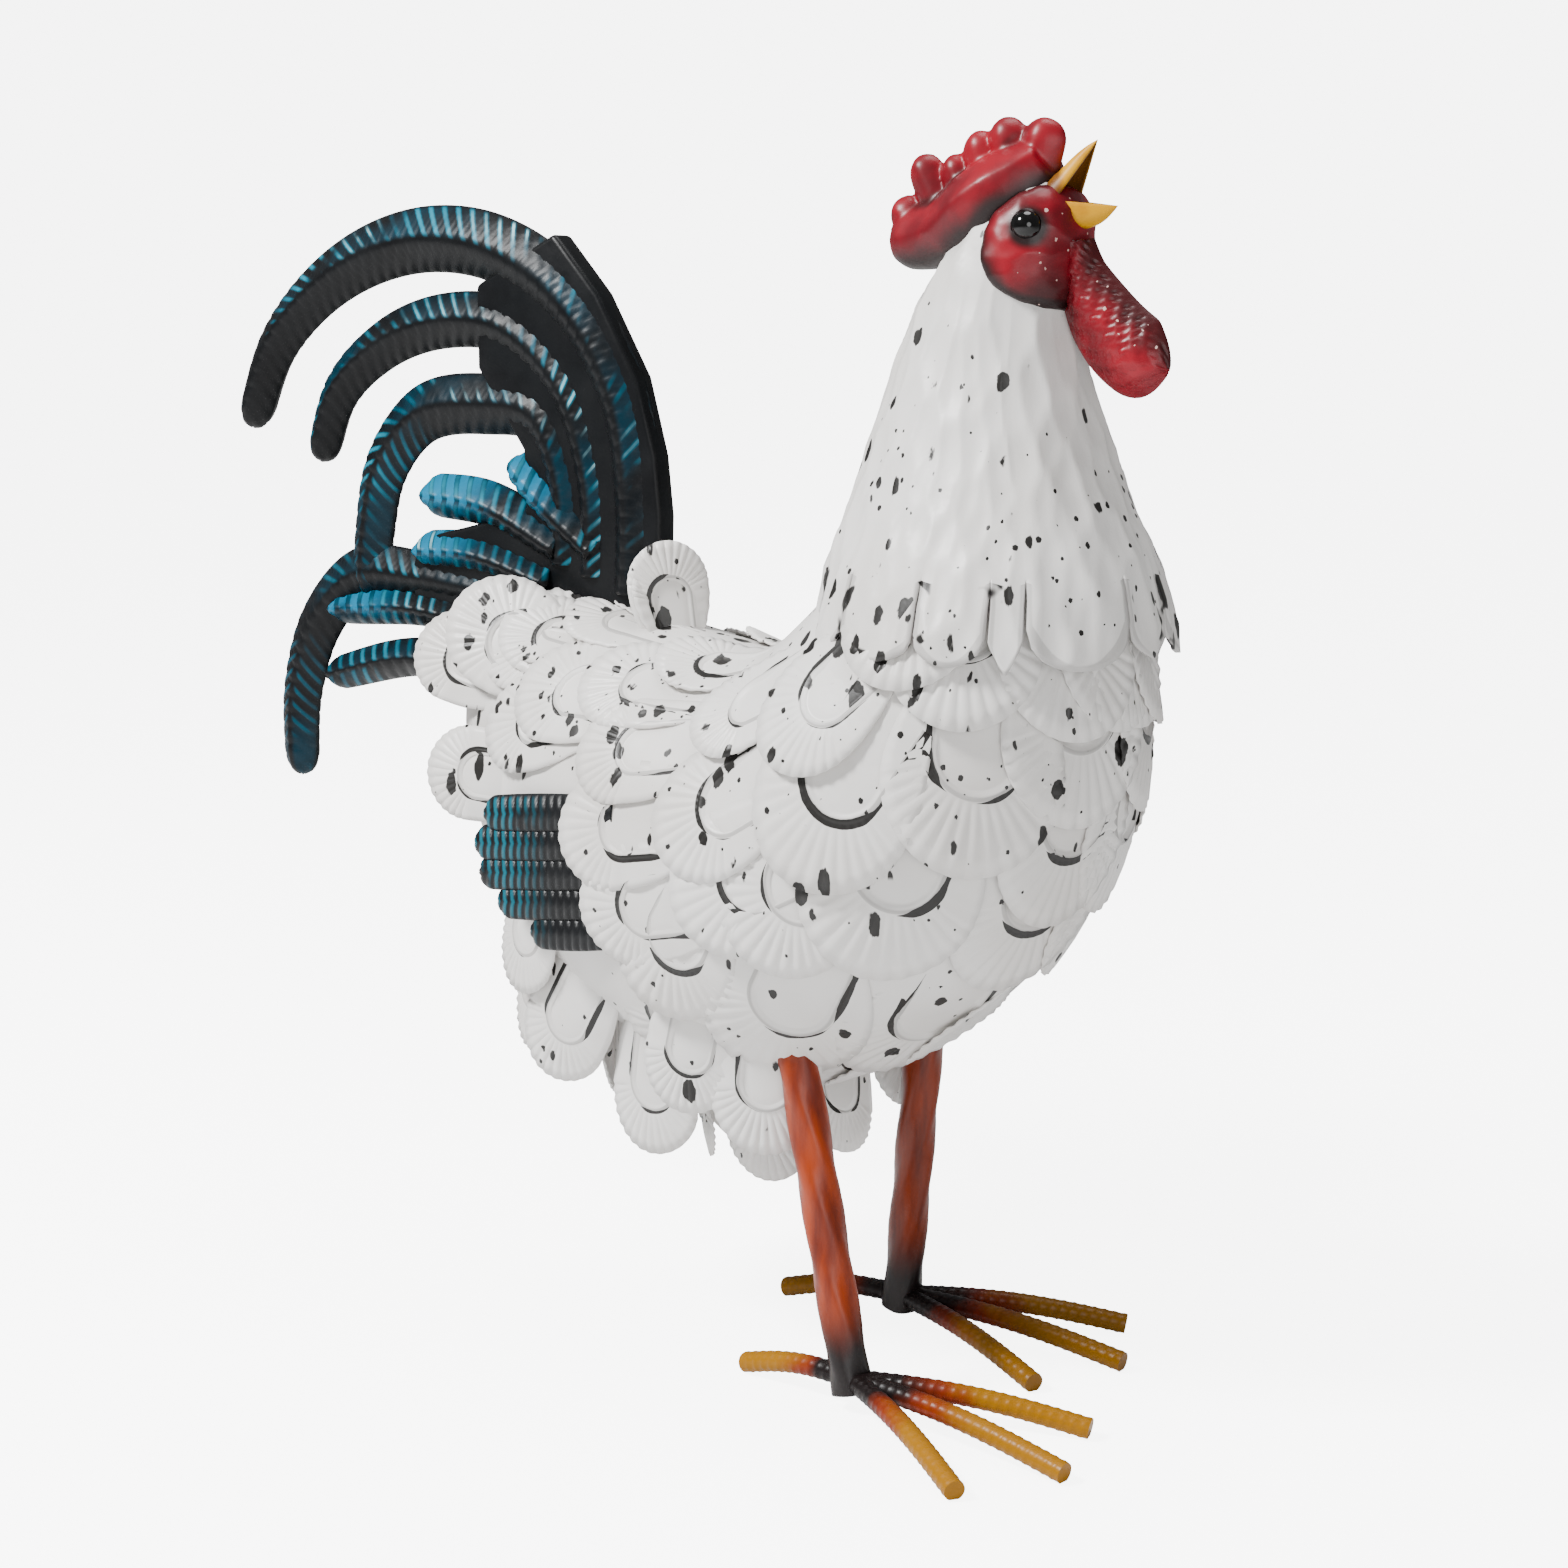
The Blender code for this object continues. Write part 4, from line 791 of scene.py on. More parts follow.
# Its upright points: path, half width, half thickness, shares as for the tail's blades
COMB_POINTS = (
    (((0.0190, 0.3470), (0.0110, 0.3555), (0.0058, 0.3610)), 0.0078, 0.0058, 0.5, 1.2, 1.0),
    (((0.0280, 0.3550), (0.0210, 0.3670), (0.0160, 0.3775)), 0.0078, 0.0060, 0.5, 1.2, 0.9),
    (((0.0370, 0.3600), (0.0332, 0.3700), (0.0305, 0.3775)), 0.0076, 0.0060, 0.5, 1.2, 0.9),
    (((0.0490, 0.3660), (0.0438, 0.3765), (0.0413, 0.3859)), 0.0084, 0.0062, 0.5, 1.2, 0.9),
    (((0.0590, 0.3700), (0.0550, 0.3810), (0.0530, 0.3904)), 0.0090, 0.0066, 0.5, 1.2, 0.9),
    (((0.0670, 0.3735), (0.0695, 0.3815), (0.0704, 0.3899)), 0.0096, 0.0068, 0.5, 1.1, 1.0))
COMB_ROWS = 40
COMB_SIDES = 36
COMB_VOXEL = 0.0009
COMB_SOFTENING = 5


def comb_crest():
    """The fold and its points, melted into each other."""
    ahead = np.gradient(COMB_RIDGE[:, :2], axis=0)
    ahead /= np.linalg.norm(ahead, axis=1)[:, None]
    stations = np.arange(len(COMB_RIDGE), dtype=float)
    points, faces, marks = [], [], []
    for at in np.linspace(0, len(COMB_RIDGE) - 1, COMB_ROWS):
        x, z, up, down, half = smooth(at, stations, COMB_RIDGE)
        ahead_x, ahead_z = smooth(at, stations, ahead)
        for turn in np.linspace(0, 2 * math.pi, COMB_SIDES, endpoint=False):
            rise, side = math.sin(turn), math.cos(turn)
            width = half * (1.0 - 0.35 * max(0.0, rise)) * math.copysign(abs(side) ** 0.8, side)
            reach = rise * (up if rise > 0 else down)
            points.append((x - ahead_z * reach, width, z + ahead_x * reach))
            marks.append((0.0, 0.0, 0.0))
    faces += tube_faces(COMB_ROWS, COMB_SIDES)
    for path, half, thick, swell, root, tip in COMB_POINTS:
        sweep(points, faces, marks, path, half, thick, swell, root, tip, 0.0)
    crest = melted(join_points(add_mesh("comb_crest", points, faces)), COMB_VOXEL, COMB_SOFTENING)
    spots = np.empty(3 * len(crest.data.vertices), np.float32)
    crest.data.vertices.foreach_get("co", spots)
    spots = spots.reshape(-1, 3) - UPPER
    ridge = COMB_RIDGE[:, :2]
    reach = np.empty(len(spots))
    for k, (x, _, z) in enumerate(spots):
        near = min(range(len(ridge) - 1), key=lambda i: segment_gap(ridge[i], ridge[i + 1], (x, z)))
        along = ridge[near + 1] - ridge[near]
        reach[k] = (along[0] * (z - ridge[near][1]) - along[1] * (x - ridge[near][0])) / np.linalg.norm(along)
    crest.data.attributes.new("rise", "FLOAT", "POINT").data.foreach_set("value", reach.astype(np.float32))
    return crest


def segment_gap(start, end, spot):
    along = end - start
    share = np.clip(np.dot(np.array(spot) - start, along) / along.dot(along), 0, 1)
    return np.linalg.norm(start + along * share - spot)


def melted(thing, voxel, rounds):
    """Overlapping shapes become one skin with soft inner corners."""
    skin = thing.modifiers.new("one skin", "REMESH")
    skin.mode = "VOXEL"
    skin.voxel_size = voxel
    soft = thing.modifiers.new("soft corners", "SMOOTH")
    soft.factor = 0.5
    soft.iterations = rounds
    keep_result(thing).data.shade_smooth()
    return thing


# Face mask round the front of the head, under the comb
FACE_HALF_ANGLE = 92
FACE_WIDENING = 0.40
FACE_HALF_HEIGHT = 0.0222
FACE_HEIGHT = NECK_RINGS[-1, 0] - 0.0008 - FACE_HALF_HEIGHT
FACE_THICKNESS = 0.0082
FACE_COLUMNS = 128
FACE_ROWS = 44
EYE_ANGLE = 56
EYE_RISE = 0.0075
EYE_RADIUS = 0.0057
EYE_SINK = 0.0042
EYE_SIDES = 40
EYE_SPOT = neck_skin(FACE_HEIGHT + EYE_RISE, -EYE_ANGLE, FACE_THICKNESS) + UPPER
FACE_HAMMER = {"Blows": 170.0, "Blow Depth": 0.0011, "Waves": 60.0, "Wave Depth": 0.0012}
COMB_HAMMER = {"Blows": 90.0, "Blow Depth": 0.0004, "Waves": 45.0, "Wave Depth": 0.0008}


def face_mask():
    """A pillow bent on to the neck skin; its mark is the share from the middle to the edge."""
    points, marks, faces = [], [], []
    levels = np.linspace(0.0, math.pi, FACE_ROWS + 1)
    for level in levels[1:-1]:
        for turn in np.linspace(0, 2 * math.pi, FACE_COLUMNS, endpoint=False):
            radius, out = math.sin(level), math.cos(level)
            x, y = radius * math.cos(turn), radius * math.sin(turn)
            corner = (abs(x) ** 3 + abs(y) ** 3) ** (1 / 3)
            spread = radius / corner
            around = x * spread * FACE_HALF_ANGLE * (1 + FACE_WIDENING * y)
            height = FACE_HEIGHT + y * spread * FACE_HALF_HEIGHT
            lift = max(out, 0.0) ** 0.8 * FACE_THICKNESS if out > 0 else 1.5 * out * SHEET
            points.append(neck_skin(height, around, lift))
            marks.append((radius if out > 0 else 1.0, y, out))
    faces = grid_faces(FACE_ROWS - 1, FACE_COLUMNS, closed=True)
    for level, first, order in ((0, 0, 1), (1, (FACE_ROWS - 2) * FACE_COLUMNS, -1)):
        pole = len(points)
        points.append(neck_skin(FACE_HEIGHT, 0.0, (FACE_THICKNESS, -1.5 * SHEET)[level]))
        marks.append((level, 0.0, 1 - 2 * level))
        for j in range(FACE_COLUMNS):
            faces.append((pole, first + j, first + (j + 1) % FACE_COLUMNS)[::order])
    return join_points(add_mesh("face_mask", points, faces, attributes={"pillow": marks}))


def eye_dome(name, side):
    """A glossy dome with a low rim; side is 1 on the right."""
    centre = neck_skin(FACE_HEIGHT + EYE_RISE, side * EYE_ANGLE, FACE_THICKNESS - EYE_SINK)
    out = unit(centre - np.array((NECK_RINGS[8, 1], 0.0, centre[2])))
    across = unit(np.cross((0, 0, 1), out))
    up = np.cross(out, across)
    profile = [(EYE_RADIUS * math.sin(t), EYE_RADIUS * math.cos(t)) for t in np.linspace(0.02, 1.25, 16)]
    profile += [(1.04 * EYE_RADIUS, 0.2 * EYE_RADIUS), (1.04 * EYE_RADIUS, 0.0), (0.0005, 0.0)]
    points = [centre + out * depth + (across * math.cos(t) + up * math.sin(t)) * radius
              for radius, depth in profile for t in np.linspace(0, 2 * math.pi, EYE_SIDES, endpoint=False)]
    return join_points(add_mesh(name, points, tube_faces(len(profile), EYE_SIDES)))


# Wattle: a drop that hangs in front of the neck; heights are from the middle of the face
WATTLE_PATH = np.array(((0.0850, 0.0020), (0.0872, -0.0100), (0.0945, -0.0235), (0.1035, -0.0335),
                        (0.1125, -0.0395), (0.1225, -0.0435)))
WATTLE = (0.0155, 0.0080, 0.72, 0.40, 0.88)
DIMPLE_PITCH = 0.0042
DIMPLE_DEPTH = 0.0008


def wattle_drop():
    points, faces, marks = [], [], []
    half, thick, swell, root, tip = WATTLE
    sweep(points, faces, marks, WATTLE_PATH + (0.0, FACE_HEIGHT), half, thick, swell, root, tip, 0.0,
          step=0.0006, sides=72)
    return join_points(add_mesh("wattle_drop", points, faces, attributes={"barb": marks}))


def dimple_tree():
    """Presses staggered rows of round dimples into a swept drop."""
    tree, given = shape_tree("pressed_dimples", {
        "Pitch": DIMPLE_PITCH, "Depth": DIMPLE_DEPTH, "Half Width": WATTLE[0]})
    along, across, _ = named(tree, "barb").parts()
    row = along / given["Pitch"]
    column = across * given["Half Width"] / given["Pitch"] + (row * 0.5).fract().step(0.499, 0.501) * 0.5
    from_row, from_column = row.fract() - 0.5, column.fract() - 0.5
    gap = (from_row * from_row + from_column * from_column) ** 0.5
    relief = gap.step(0.42, 0.10) * across.abs().step(0.93, 0.80) * given["Depth"] * -1.0
    return pressed(tree, given, relief)


def hammer_tree():
    """Shallow round blows of a hammer, and slow waves in the sheet."""
    tree, given = shape_tree("hammered_sheet", {
        "Blows": 140.0, "Blow Depth": 0.0005, "Waves": 40.0, "Wave Depth": 0.0005, "Stretch": 1.0})
    place = made(tree, "GeometryNodeInputPosition")
    x, y, z = place.parts()
    drawn = x.joined(y, z * given["Stretch"])
    blow, _ = drawn.cells(given["Blows"])
    wave = drawn.noise(given["Waves"])
    relief = (blow * blow - 0.3) * given["Blow Depth"] + (wave - 0.5) * given["Wave Depth"]
    return pressed(tree, given, relief)


# Beak: two folded sheets, open towards each other; heights are from the middle of the face
BEAK_CORNER = (0.0812, 0.0078, 0.0175)
BEAK_FOLDS = {"upper": ((0.0922, 0.0375), (0.0775, 0.0270)), "lower": ((0.1010, 0.0143), (0.0865, 0.0060))}
BEAK_WALL = 0.0010


def beak_fold(name, which):
    tip, ridge = BEAK_FOLDS[which]
    corner_x, half, corner_z = BEAK_CORNER
    corner_z += math.copysign(0.0013, ridge[1] - corner_z)
    apex = np.array((tip[0], 0.0, tip[1] + FACE_HEIGHT))
    outer = []
    for share in np.linspace(-0.22, 1.0, 26):
        row = []
        for turn in np.linspace(-math.pi / 2, math.pi / 2, 21):
            lean = math.cos(turn) ** 0.9 if abs(turn) < 1.57 else 0.0
            front = np.array((corner_x + (ridge[0] - corner_x) * lean, -half * math.sin(turn),
                              corner_z + (ridge[1] - corner_z) * lean + FACE_HEIGHT))
            spot = front + (apex - front) * share
            bulge = 0.0016 * math.sin(math.pi * max(share, 0.0)) * lean
            row.append(spot + np.array((0.4, 0.0, math.copysign(1.0, ridge[1] - corner_z))) * bulge)
        outer.append(row)
    outer = np.array(outer)
    middle = outer[:, :1, :] * 0.5 + outer[:, -1:, :] * 0.5
    away = outer - middle
    reach = np.linalg.norm(away, axis=2, keepdims=True)
    inner = outer - away / np.maximum(reach, 1e-9) * np.minimum(BEAK_WALL, 0.6 * reach)
    rows, columns = outer.shape[:2]
    ring = np.concatenate((outer, inner[:, ::-1]), axis=1)
    marks = np.zeros(ring.shape)
    marks[:, columns:, 0] = 1.0
    marks[:, :, 1] = np.linspace(0, 1, rows)[:, None]
    fold = add_mesh(name, ring.reshape(-1, 3), tube_faces(rows, 2 * columns),
                    attributes={"fold": marks.reshape(-1, 3)})
    return join_points(fold, 1e-7)


# Paint: each finish is worked out from places on the object or from the marks on its mesh

class Paint:
    """A material under construction, with a way to read its place and marks and to mix."""

    def __init__(self, name, shine):
        self.material = bpy.data.materials.new(name)
        self.material.use_nodes = True
        self.tree = self.material.node_tree
        self.shader = self.tree.nodes["Principled BSDF"]
        self.shader.inputs["Specular IOR Level"].default_value = shine
        self.place = made(self.tree, "ShaderNodeTexCoord", output="Object")

    def mark(self, name, output="Vector"):
        return made(self.tree, "ShaderNodeAttribute", output=output, attribute_name=name)

    def mix(self, share, low, high):
        """Colour low where share is 0 and high where it is 1; each a colour or a Field."""
        low, high = (end if isinstance(end, Field) else (*end, 1) for end in (low, high))
        return made(self.tree, "ShaderNodeMix", {0: share, 6: low, 7: high}, 2, data_type="RGBA")

    def finished(self, colour, rough, grain=None):
        """Link the colour; rough is a Field or a noise's scale, spread and base, and grain
        is a noise's scale and detail with the distance and strength of its bump."""
        links = [("Base Color", colour)]
        if not isinstance(rough, Field):
            scale, spread, base = rough
            rough = self.place.noise(scale) * spread + base
        links.append(("Roughness", rough))
        if grain:
            scale, detail, distance, strength = grain
            inputs = {"Height": self.place.noise(scale, detail), "Distance": distance, "Strength": strength}
            links.append(("Normal", made(self.tree, "ShaderNodeBump", inputs, "Normal")))
        for name, value in links:
            self.tree.links.new(value.socket, self.shader.inputs[name])
        return self.material


def dots(place, scale, stretch, turn, size, density):
    """Oval dots of scattered size, one in some of the cells of a loose grid."""
    drawn = place.times(stretch, turn)
    gap, colour = drawn.cells(scale)
    pick, grow, _ = colour.parts()
    radius = grow * grow * size + size * 0.45
    ragged = (drawn.noise(scale * 4.0) - 0.5) * size
    return (radius - gap + ragged).step(0.0, 0.03) * (pick + density - 1.0).step(0.0, 0.01)


def splatter(place, dense):
    """Black brush spots; dense is a Field from 0 to 1 that says how many there are."""
    large = dots(place, 88.0, (1.0, 1.0, 0.60), (0.5, 0.35, 0.3), 0.24, dense * 0.85)
    slanted = dots(place, 105.0, (1.0, 1.0, 0.38), (-0.7, -0.6, 1.2), 0.20, dense * 0.75)
    fine = dots(place, 250.0, (1.0, 1.0, 0.8), (0.2, 0.9, 2.0), 0.22, dense * 0.45)
    return large.at_least(slanted).at_least(fine)


WHITE = (0.74, 0.725, 0.705)
WARM = (0.64, 0.615, 0.585)
INK = (0.012, 0.011, 0.010)
# Grey for painted shade: the groove round each feather's oval and the hem edges of the neck.
SHADE_GREY = (0.33, 0.32, 0.31)
WHITE_ROUGH = (60.0, 0.12, 0.32)


def white_ground(paint):
    """Slightly uneven white enamel."""
    return paint.mix(paint.place.noise(14.0, 3.0).step(0.35, 0.75), WHITE, WARM)


def feather_white():
    """White enamel with a grey line of painted shade in the groove round the oval of each feather, broken ink
    arcs round the oval, and spots.
    """
    paint = Paint("white_enamel_feathers", 0.4)
    place = paint.place
    gap, angle, seed = paint.mark("stamp").parts()
    _, _, height = place.parts()
    # Grey line of painted shade in the groove round each feather's smooth oval.
    line = (gap - 0.50).abs().step(0.030, 0.010)
    ground = paint.mix(line * 0.75, white_ground(paint), SHADE_GREY)
    brush = (angle * 0.62 + seed * 31.0).joined(seed * 17.0).noise(1.0, 1.0)
    width = brush.step(0.38, 0.62) * 0.064
    ragged = place.noise(300.0) * 0.014
    arc = (width - (gap - 0.54).abs() - ragged).step(0.0, 0.006)
    ink = arc.at_least(splatter(place, height.step(0.17, 0.30) * 0.65 + 0.22))
    return paint.finished(paint.mix(ink, ground, INK), WHITE_ROUGH, (420.0, 2.0, 0.0003, 0.25))


def neck_white():
    """White enamel of the neck: spots, a grey band of painted shade along the hem edges, and ink in the slits.
    """
    paint = Paint("white_enamel_neck", 0.4)
    place = paint.place
    edge, _, _ = paint.mark("hem").parts()
    _, _, height = place.parts()
    # Grey band of painted shade along the hem's edges, where each tongue's rim stands over the plate below.
    hem = (edge + place.noise(70.0) * 0.0012).step(0.0030, 0.0020)
    ground = paint.mix(hem * 0.55, white_ground(paint), SHADE_GREY)
    blot = (place.noise(55.0) - 0.58).step(0.0, 0.03) * edge.step(0.0050, 0.0038)
    ink = blot.at_least(splatter(place, height.step(0.43, 0.31) * 0.65 + 0.35))
    return paint.finished(paint.mix(ink, ground, INK), WHITE_ROUGH, (380.0, 2.0, 0.0003, 0.25))


def tail_black():
    """Black enamel with teal dry-brushed over the barbs, kept mostly to the outer (upper) half of each
    blade where light catches them, so partly painted highlight; pale painted highlights on the outer crests, and
    blue on the small blades' tips."""
    paint = Paint("teal_black_enamel_tail", 0.16)
    place = paint.place
    along, across, blue = paint.mark("barb").parts()
    crest = ((along / BARB_PITCH).fract() - 0.52).abs().step(0.27, 0.05)
    # Teal is kept to the outer (upper) half of each blade, where light catches the barbs: teal paint that is
    # partly painted highlight.
    outer = across.step(-0.02, -0.22) * across.step(-1.0, -0.86)
    inner = across.step(0.06, 0.25) * across.step(1.0, 0.85) * blue.step(0.34, 0.44)
    painted = outer.at_least(inner)
    stroke = crest * (place.noise(30.0, 3.0) + blue * 0.14).step(0.44, 0.62) * painted
    teal = paint.mix(place.noise(24.0).step(0.40, 0.66), (0.001, 0.050, 0.080), (0.003, 0.17, 0.25))
    # Pale painted highlights on the barb crests of the outer (upper) half.
    pale = crest.step(0.75, 1.0) * outer * place.noise(16.0).step(0.52, 0.66)
    teal = paint.mix(pale, teal, (0.30, 0.55, 0.60))
    black = paint.mix(place.noise(50.0), (0.0015, 0.0015, 0.002), (0.006, 0.007, 0.008))
    haze = painted * place.noise(22.0, 3.0).step(0.42, 0.70)
    between = 1.0 - crest.step(0.0, 0.5) * 0.8
    tips = blue.step(0.50, 0.95) * between * (across * -0.3 + place.noise(40.0)).step(0.25, 0.50)
    ground = paint.mix(tips, paint.mix(haze, black, (0.001, 0.018, 0.030)), (0.001, 0.15, 0.27))
    return paint.finished(paint.mix(stroke, ground, teal), (90.0, 0.25, 0.26), (260.0, 3.0, 0.0004, 0.3))


def flight_black():
    """Black enamel with teal along the ribs of the outer half."""
    paint = Paint("teal_black_enamel_flight", 0.22)
    place = paint.place
    along, across, _ = paint.mark("barb").parts()
    crest = ((along / RIB_PITCH).fract() - 0.55).abs().step(0.34, 0.10)
    outer = along.step(0.030, 0.060) * (place.noise(60.0, 3.0) + 0.12).step(0.42, 0.62)
    black = paint.mix(place.noise(50.0), (0.003, 0.003, 0.004), (0.010, 0.011, 0.012))
    teal = paint.mix(crest * outer * across.abs().step(0.95, 0.7), black, (0.003, 0.10, 0.14))
    return paint.finished(teal, (90.0, 0.2, 0.25), (260.0, 3.0, 0.0003, 0.3))


RED = (0.240, 0.0010, 0.010)
DEEP_RED = (0.100, 0.0008, 0.005)
# Near-black red for painted shade: comb notches and fold edge, face edges, lower face and eye hollows, and the
# wattle's far side.
RED_PAINTED_SHADE = (0.010, 0.002, 0.002)
PALE_DOT_PINK = (0.72, 0.50, 0.44)
RED_SHINE = 0.35


def red_ground(paint):
    return paint.mix(paint.place.noise(45.0, 3.0).step(0.35, 0.70), RED, DEEP_RED)


def red_finished(paint, colour):
    return paint.finished(colour, (80.0, 0.18, 0.30), (240.0, 2.0, 0.0003, 0.25))


def comb_red():
    """Red enamel with painted shade where the points meet the fold and under the fold's edge."""
    paint = Paint("red_enamel_comb", RED_SHINE)
    rise = paint.mark("rise", "Fac") + (paint.place.noise(60.0, 3.0) - 0.5) * 0.006
    # Painted shade in the notches between the points and under the fold's lower edge.
    notch = (rise - 0.0105).abs().step(0.0035, 0.0005) * paint.place.noise(45.0).step(0.42, 0.58)
    under = rise.step(-0.0025, -0.0105)
    return red_finished(paint, paint.mix((notch * 0.7).at_least(under), red_ground(paint), RED_PAINTED_SHADE))


def face_red():
    """Hammered red with painted shade towards its edges, over its lower part and round the eyes, and pale dots
    of wear.
    """
    paint = Paint("red_enamel_face", RED_SHINE)
    place = paint.place
    reach, level, _ = paint.mark("pillow").parts()
    uneven = (place.noise(60.0, 3.0) - 0.5) * 0.35
    # Painted shade towards the pillow's edges and over its lower part.
    edge = (reach + uneven * 0.5 - level * 0.10).step(0.78, 1.0)
    low = (level * -1.0 + uneven).step(0.25, 0.75) * 0.7
    x, y, z = place.parts()
    from_eye = (x - EYE_SPOT[0], y.abs() - EYE_SPOT[1], z - EYE_SPOT[2])
    gap = (from_eye[0] ** 2.0 + from_eye[1] ** 2.0 + from_eye[2] ** 2.0) ** 0.5
    # Painted shade in the hollow round each eye.
    socket = (gap + uneven * 0.004).step(0.0098, 0.0060)
    ground = paint.mix(edge.at_least(low).at_least(socket), red_ground(paint), RED_PAINTED_SHADE)
    pale_dots = dots(place, 260.0, (1.0, 1.0, 1.0), (0.3, 0.2, 0.1), 0.20, x.step(0.176, 0.186) * 0.55)
    return red_finished(paint, paint.mix(pale_dots * 0.7, ground, PALE_DOT_PINK))


def wattle_red():
    """Red enamel with painted shade on the side turned from the light, and pale dots along its upper ridge."""
    paint = Paint("red_enamel_wattle", RED_SHINE)
    place = paint.place
    along, across, _ = paint.mark("barb").parts()
    # Painted shade on the side of the drop turned away from the light, broken by noise.
    dark = (place.noise(70.0, 3.0) * 0.6 + across * 0.42).step(0.32, 0.66)
    ground = paint.mix(dark * 0.85, red_ground(paint), RED_PAINTED_SHADE)
    ridge = (across - 0.5).abs().step(0.34, 0.10) * along.step(0.004, 0.014)
    # Pale dots along the drop's upper ridge.
    pale_dots = dots(place, 330.0, (1.0, 1.0, 1.0), (0.3, 0.2, 0.1), 0.22, ridge * 0.7)
    return red_finished(paint, paint.mix(pale_dots * 0.8, ground, PALE_DOT_PINK))


def beak_yellow():
    """Yellow enamel outside, brown inside and where the fold meets the face."""
    paint = Paint("yellow_enamel_beak", 0.15)
    place = paint.place
    inside, along, _ = paint.mark("fold").parts()
    yellow = paint.mix(place.noise(90.0, 3.0).step(0.4, 0.7), (0.58, 0.28, 0.0005), (0.44, 0.17, 0.0005))
    brown = paint.mix(place.noise(110.0, 3.0), (0.07, 0.020, 0.004), (0.20, 0.075, 0.008))
    root = (along + place.noise(120.0) * 0.2).step(0.42, 0.26)
    colour = paint.mix(inside.at_least(root), yellow, brown)
    return paint.finished(colour, (80.0, 0.2, 0.28), (300.0, 2.0, 0.0003, 0.3))


def eye_black():
    """Thick gloss black with a little dust."""
    paint = Paint("black_gloss_eye", 0.45)
    dust = paint.place.noise(200.0, 3.0).step(0.55, 0.8)
    return paint.finished(paint.mix(dust, (0.001, 0.001, 0.001), (0.006, 0.005, 0.005)), (150.0, 0.10, 0.05))


BURNT = (0.008, 0.005, 0.005)


# Colour darkened by a factor: painted shade for the far leg and toes.
def painted_shade_of(colour, shade_factor):
    return tuple(shade_factor * part for part in colour)


def leg_orange(name, shade_factor):
    """Orange-brown enamel, streaked along the bar and sooty towards the foot."""
    paint = Paint(name, 0.35)
    _, _, height = paint.place.parts()
    streak = paint.place.times((1.0, 1.0, 0.12)).noise(150.0, 3.0)
    orange = paint.mix(streak.step(0.30, 0.75), painted_shade_of((0.30, 0.034, 0.002), shade_factor),
                       painted_shade_of((0.11, 0.010, 0.002), shade_factor))
    foot = (height + (streak - 0.5) * 0.02).step(0.043, 0.021)
    return paint.finished(paint.mix(foot, orange, BURNT), streak * 0.25 + 0.22, (260.0, 3.0, 0.0004, 0.3))


def toe_fade(name, length, shade_factor):
    """Black at the weld, through red-brown to mustard, with a red-brown end; undersides redder as painted shade.
    """
    paint = Paint(name, 0.2)
    share = paint.mark("along", "Fac") / length
    uneven = (paint.place.noise(75.0, 3.0) - 0.5) * 0.26
    _, _, height = paint.place.parts()
    red = paint.mix((share + uneven).step(0.16, 0.36), BURNT, painted_shade_of((0.20, 0.020, 0.002), shade_factor))
    # The height term paints each rod's underside redder and its top more mustard as painted shade; the fade
    # along the toe is the paint's own.
    top = (share + uneven * 1.3 + height * 14.0).step(0.48, 0.74)
    mustard = paint.mix(top, red, painted_shade_of((0.30, 0.125, 0.0004), shade_factor))
    colour = paint.mix(share.step(0.982, 0.992), mustard, (0.14, 0.020, 0.006))
    return paint.finished(colour, (90.0, 0.25, 0.24), (240.0, 3.0, 0.0004, 0.4))


# Floor, light and camera

# Soft round lights: name, place, height they aim at, size, power
LIGHTS = (("key", (-0.7, -1.2, 1.7), 0.25, 0.5, 86), ("top", (0.1, 0.2, 2.2), 0.20, 1.0, 22),
          ("fill", (1.5, -1.2, 0.6), 0.25, 1.0, 12))
# Brightness of the backdrop as the camera sees it, and of the light it throws
BACKDROP = 6.5
AMBIENT = 0.26
FLOOR_HALF = 40.0
FLOOR_TONE = 0.85
FLOOR_DROP = 0.0004
CAMERA_PLACE = (0.76435, -0.92807, 0.43490)
CAMERA_AIM = (0.065, 0.0, 0.230)
SENSOR = 36
FOCAL_PIXELS = 2980
PHOTO_PIXELS = 1568


def aimed(name, data, spot, aim):
    thing = in_scene(name, data)
    thing.location = spot
    thing.rotation_euler = (Vector(aim) - Vector(spot)).to_track_quat("-Z", "Y").to_euler()
    return thing


def seen_by_camera(tree, low, high):
    """A number that is high where the camera looks and low for light that falls on things."""
    return made(tree, "ShaderNodeLightPath", output="Is Camera Ray") * (high - low) + low


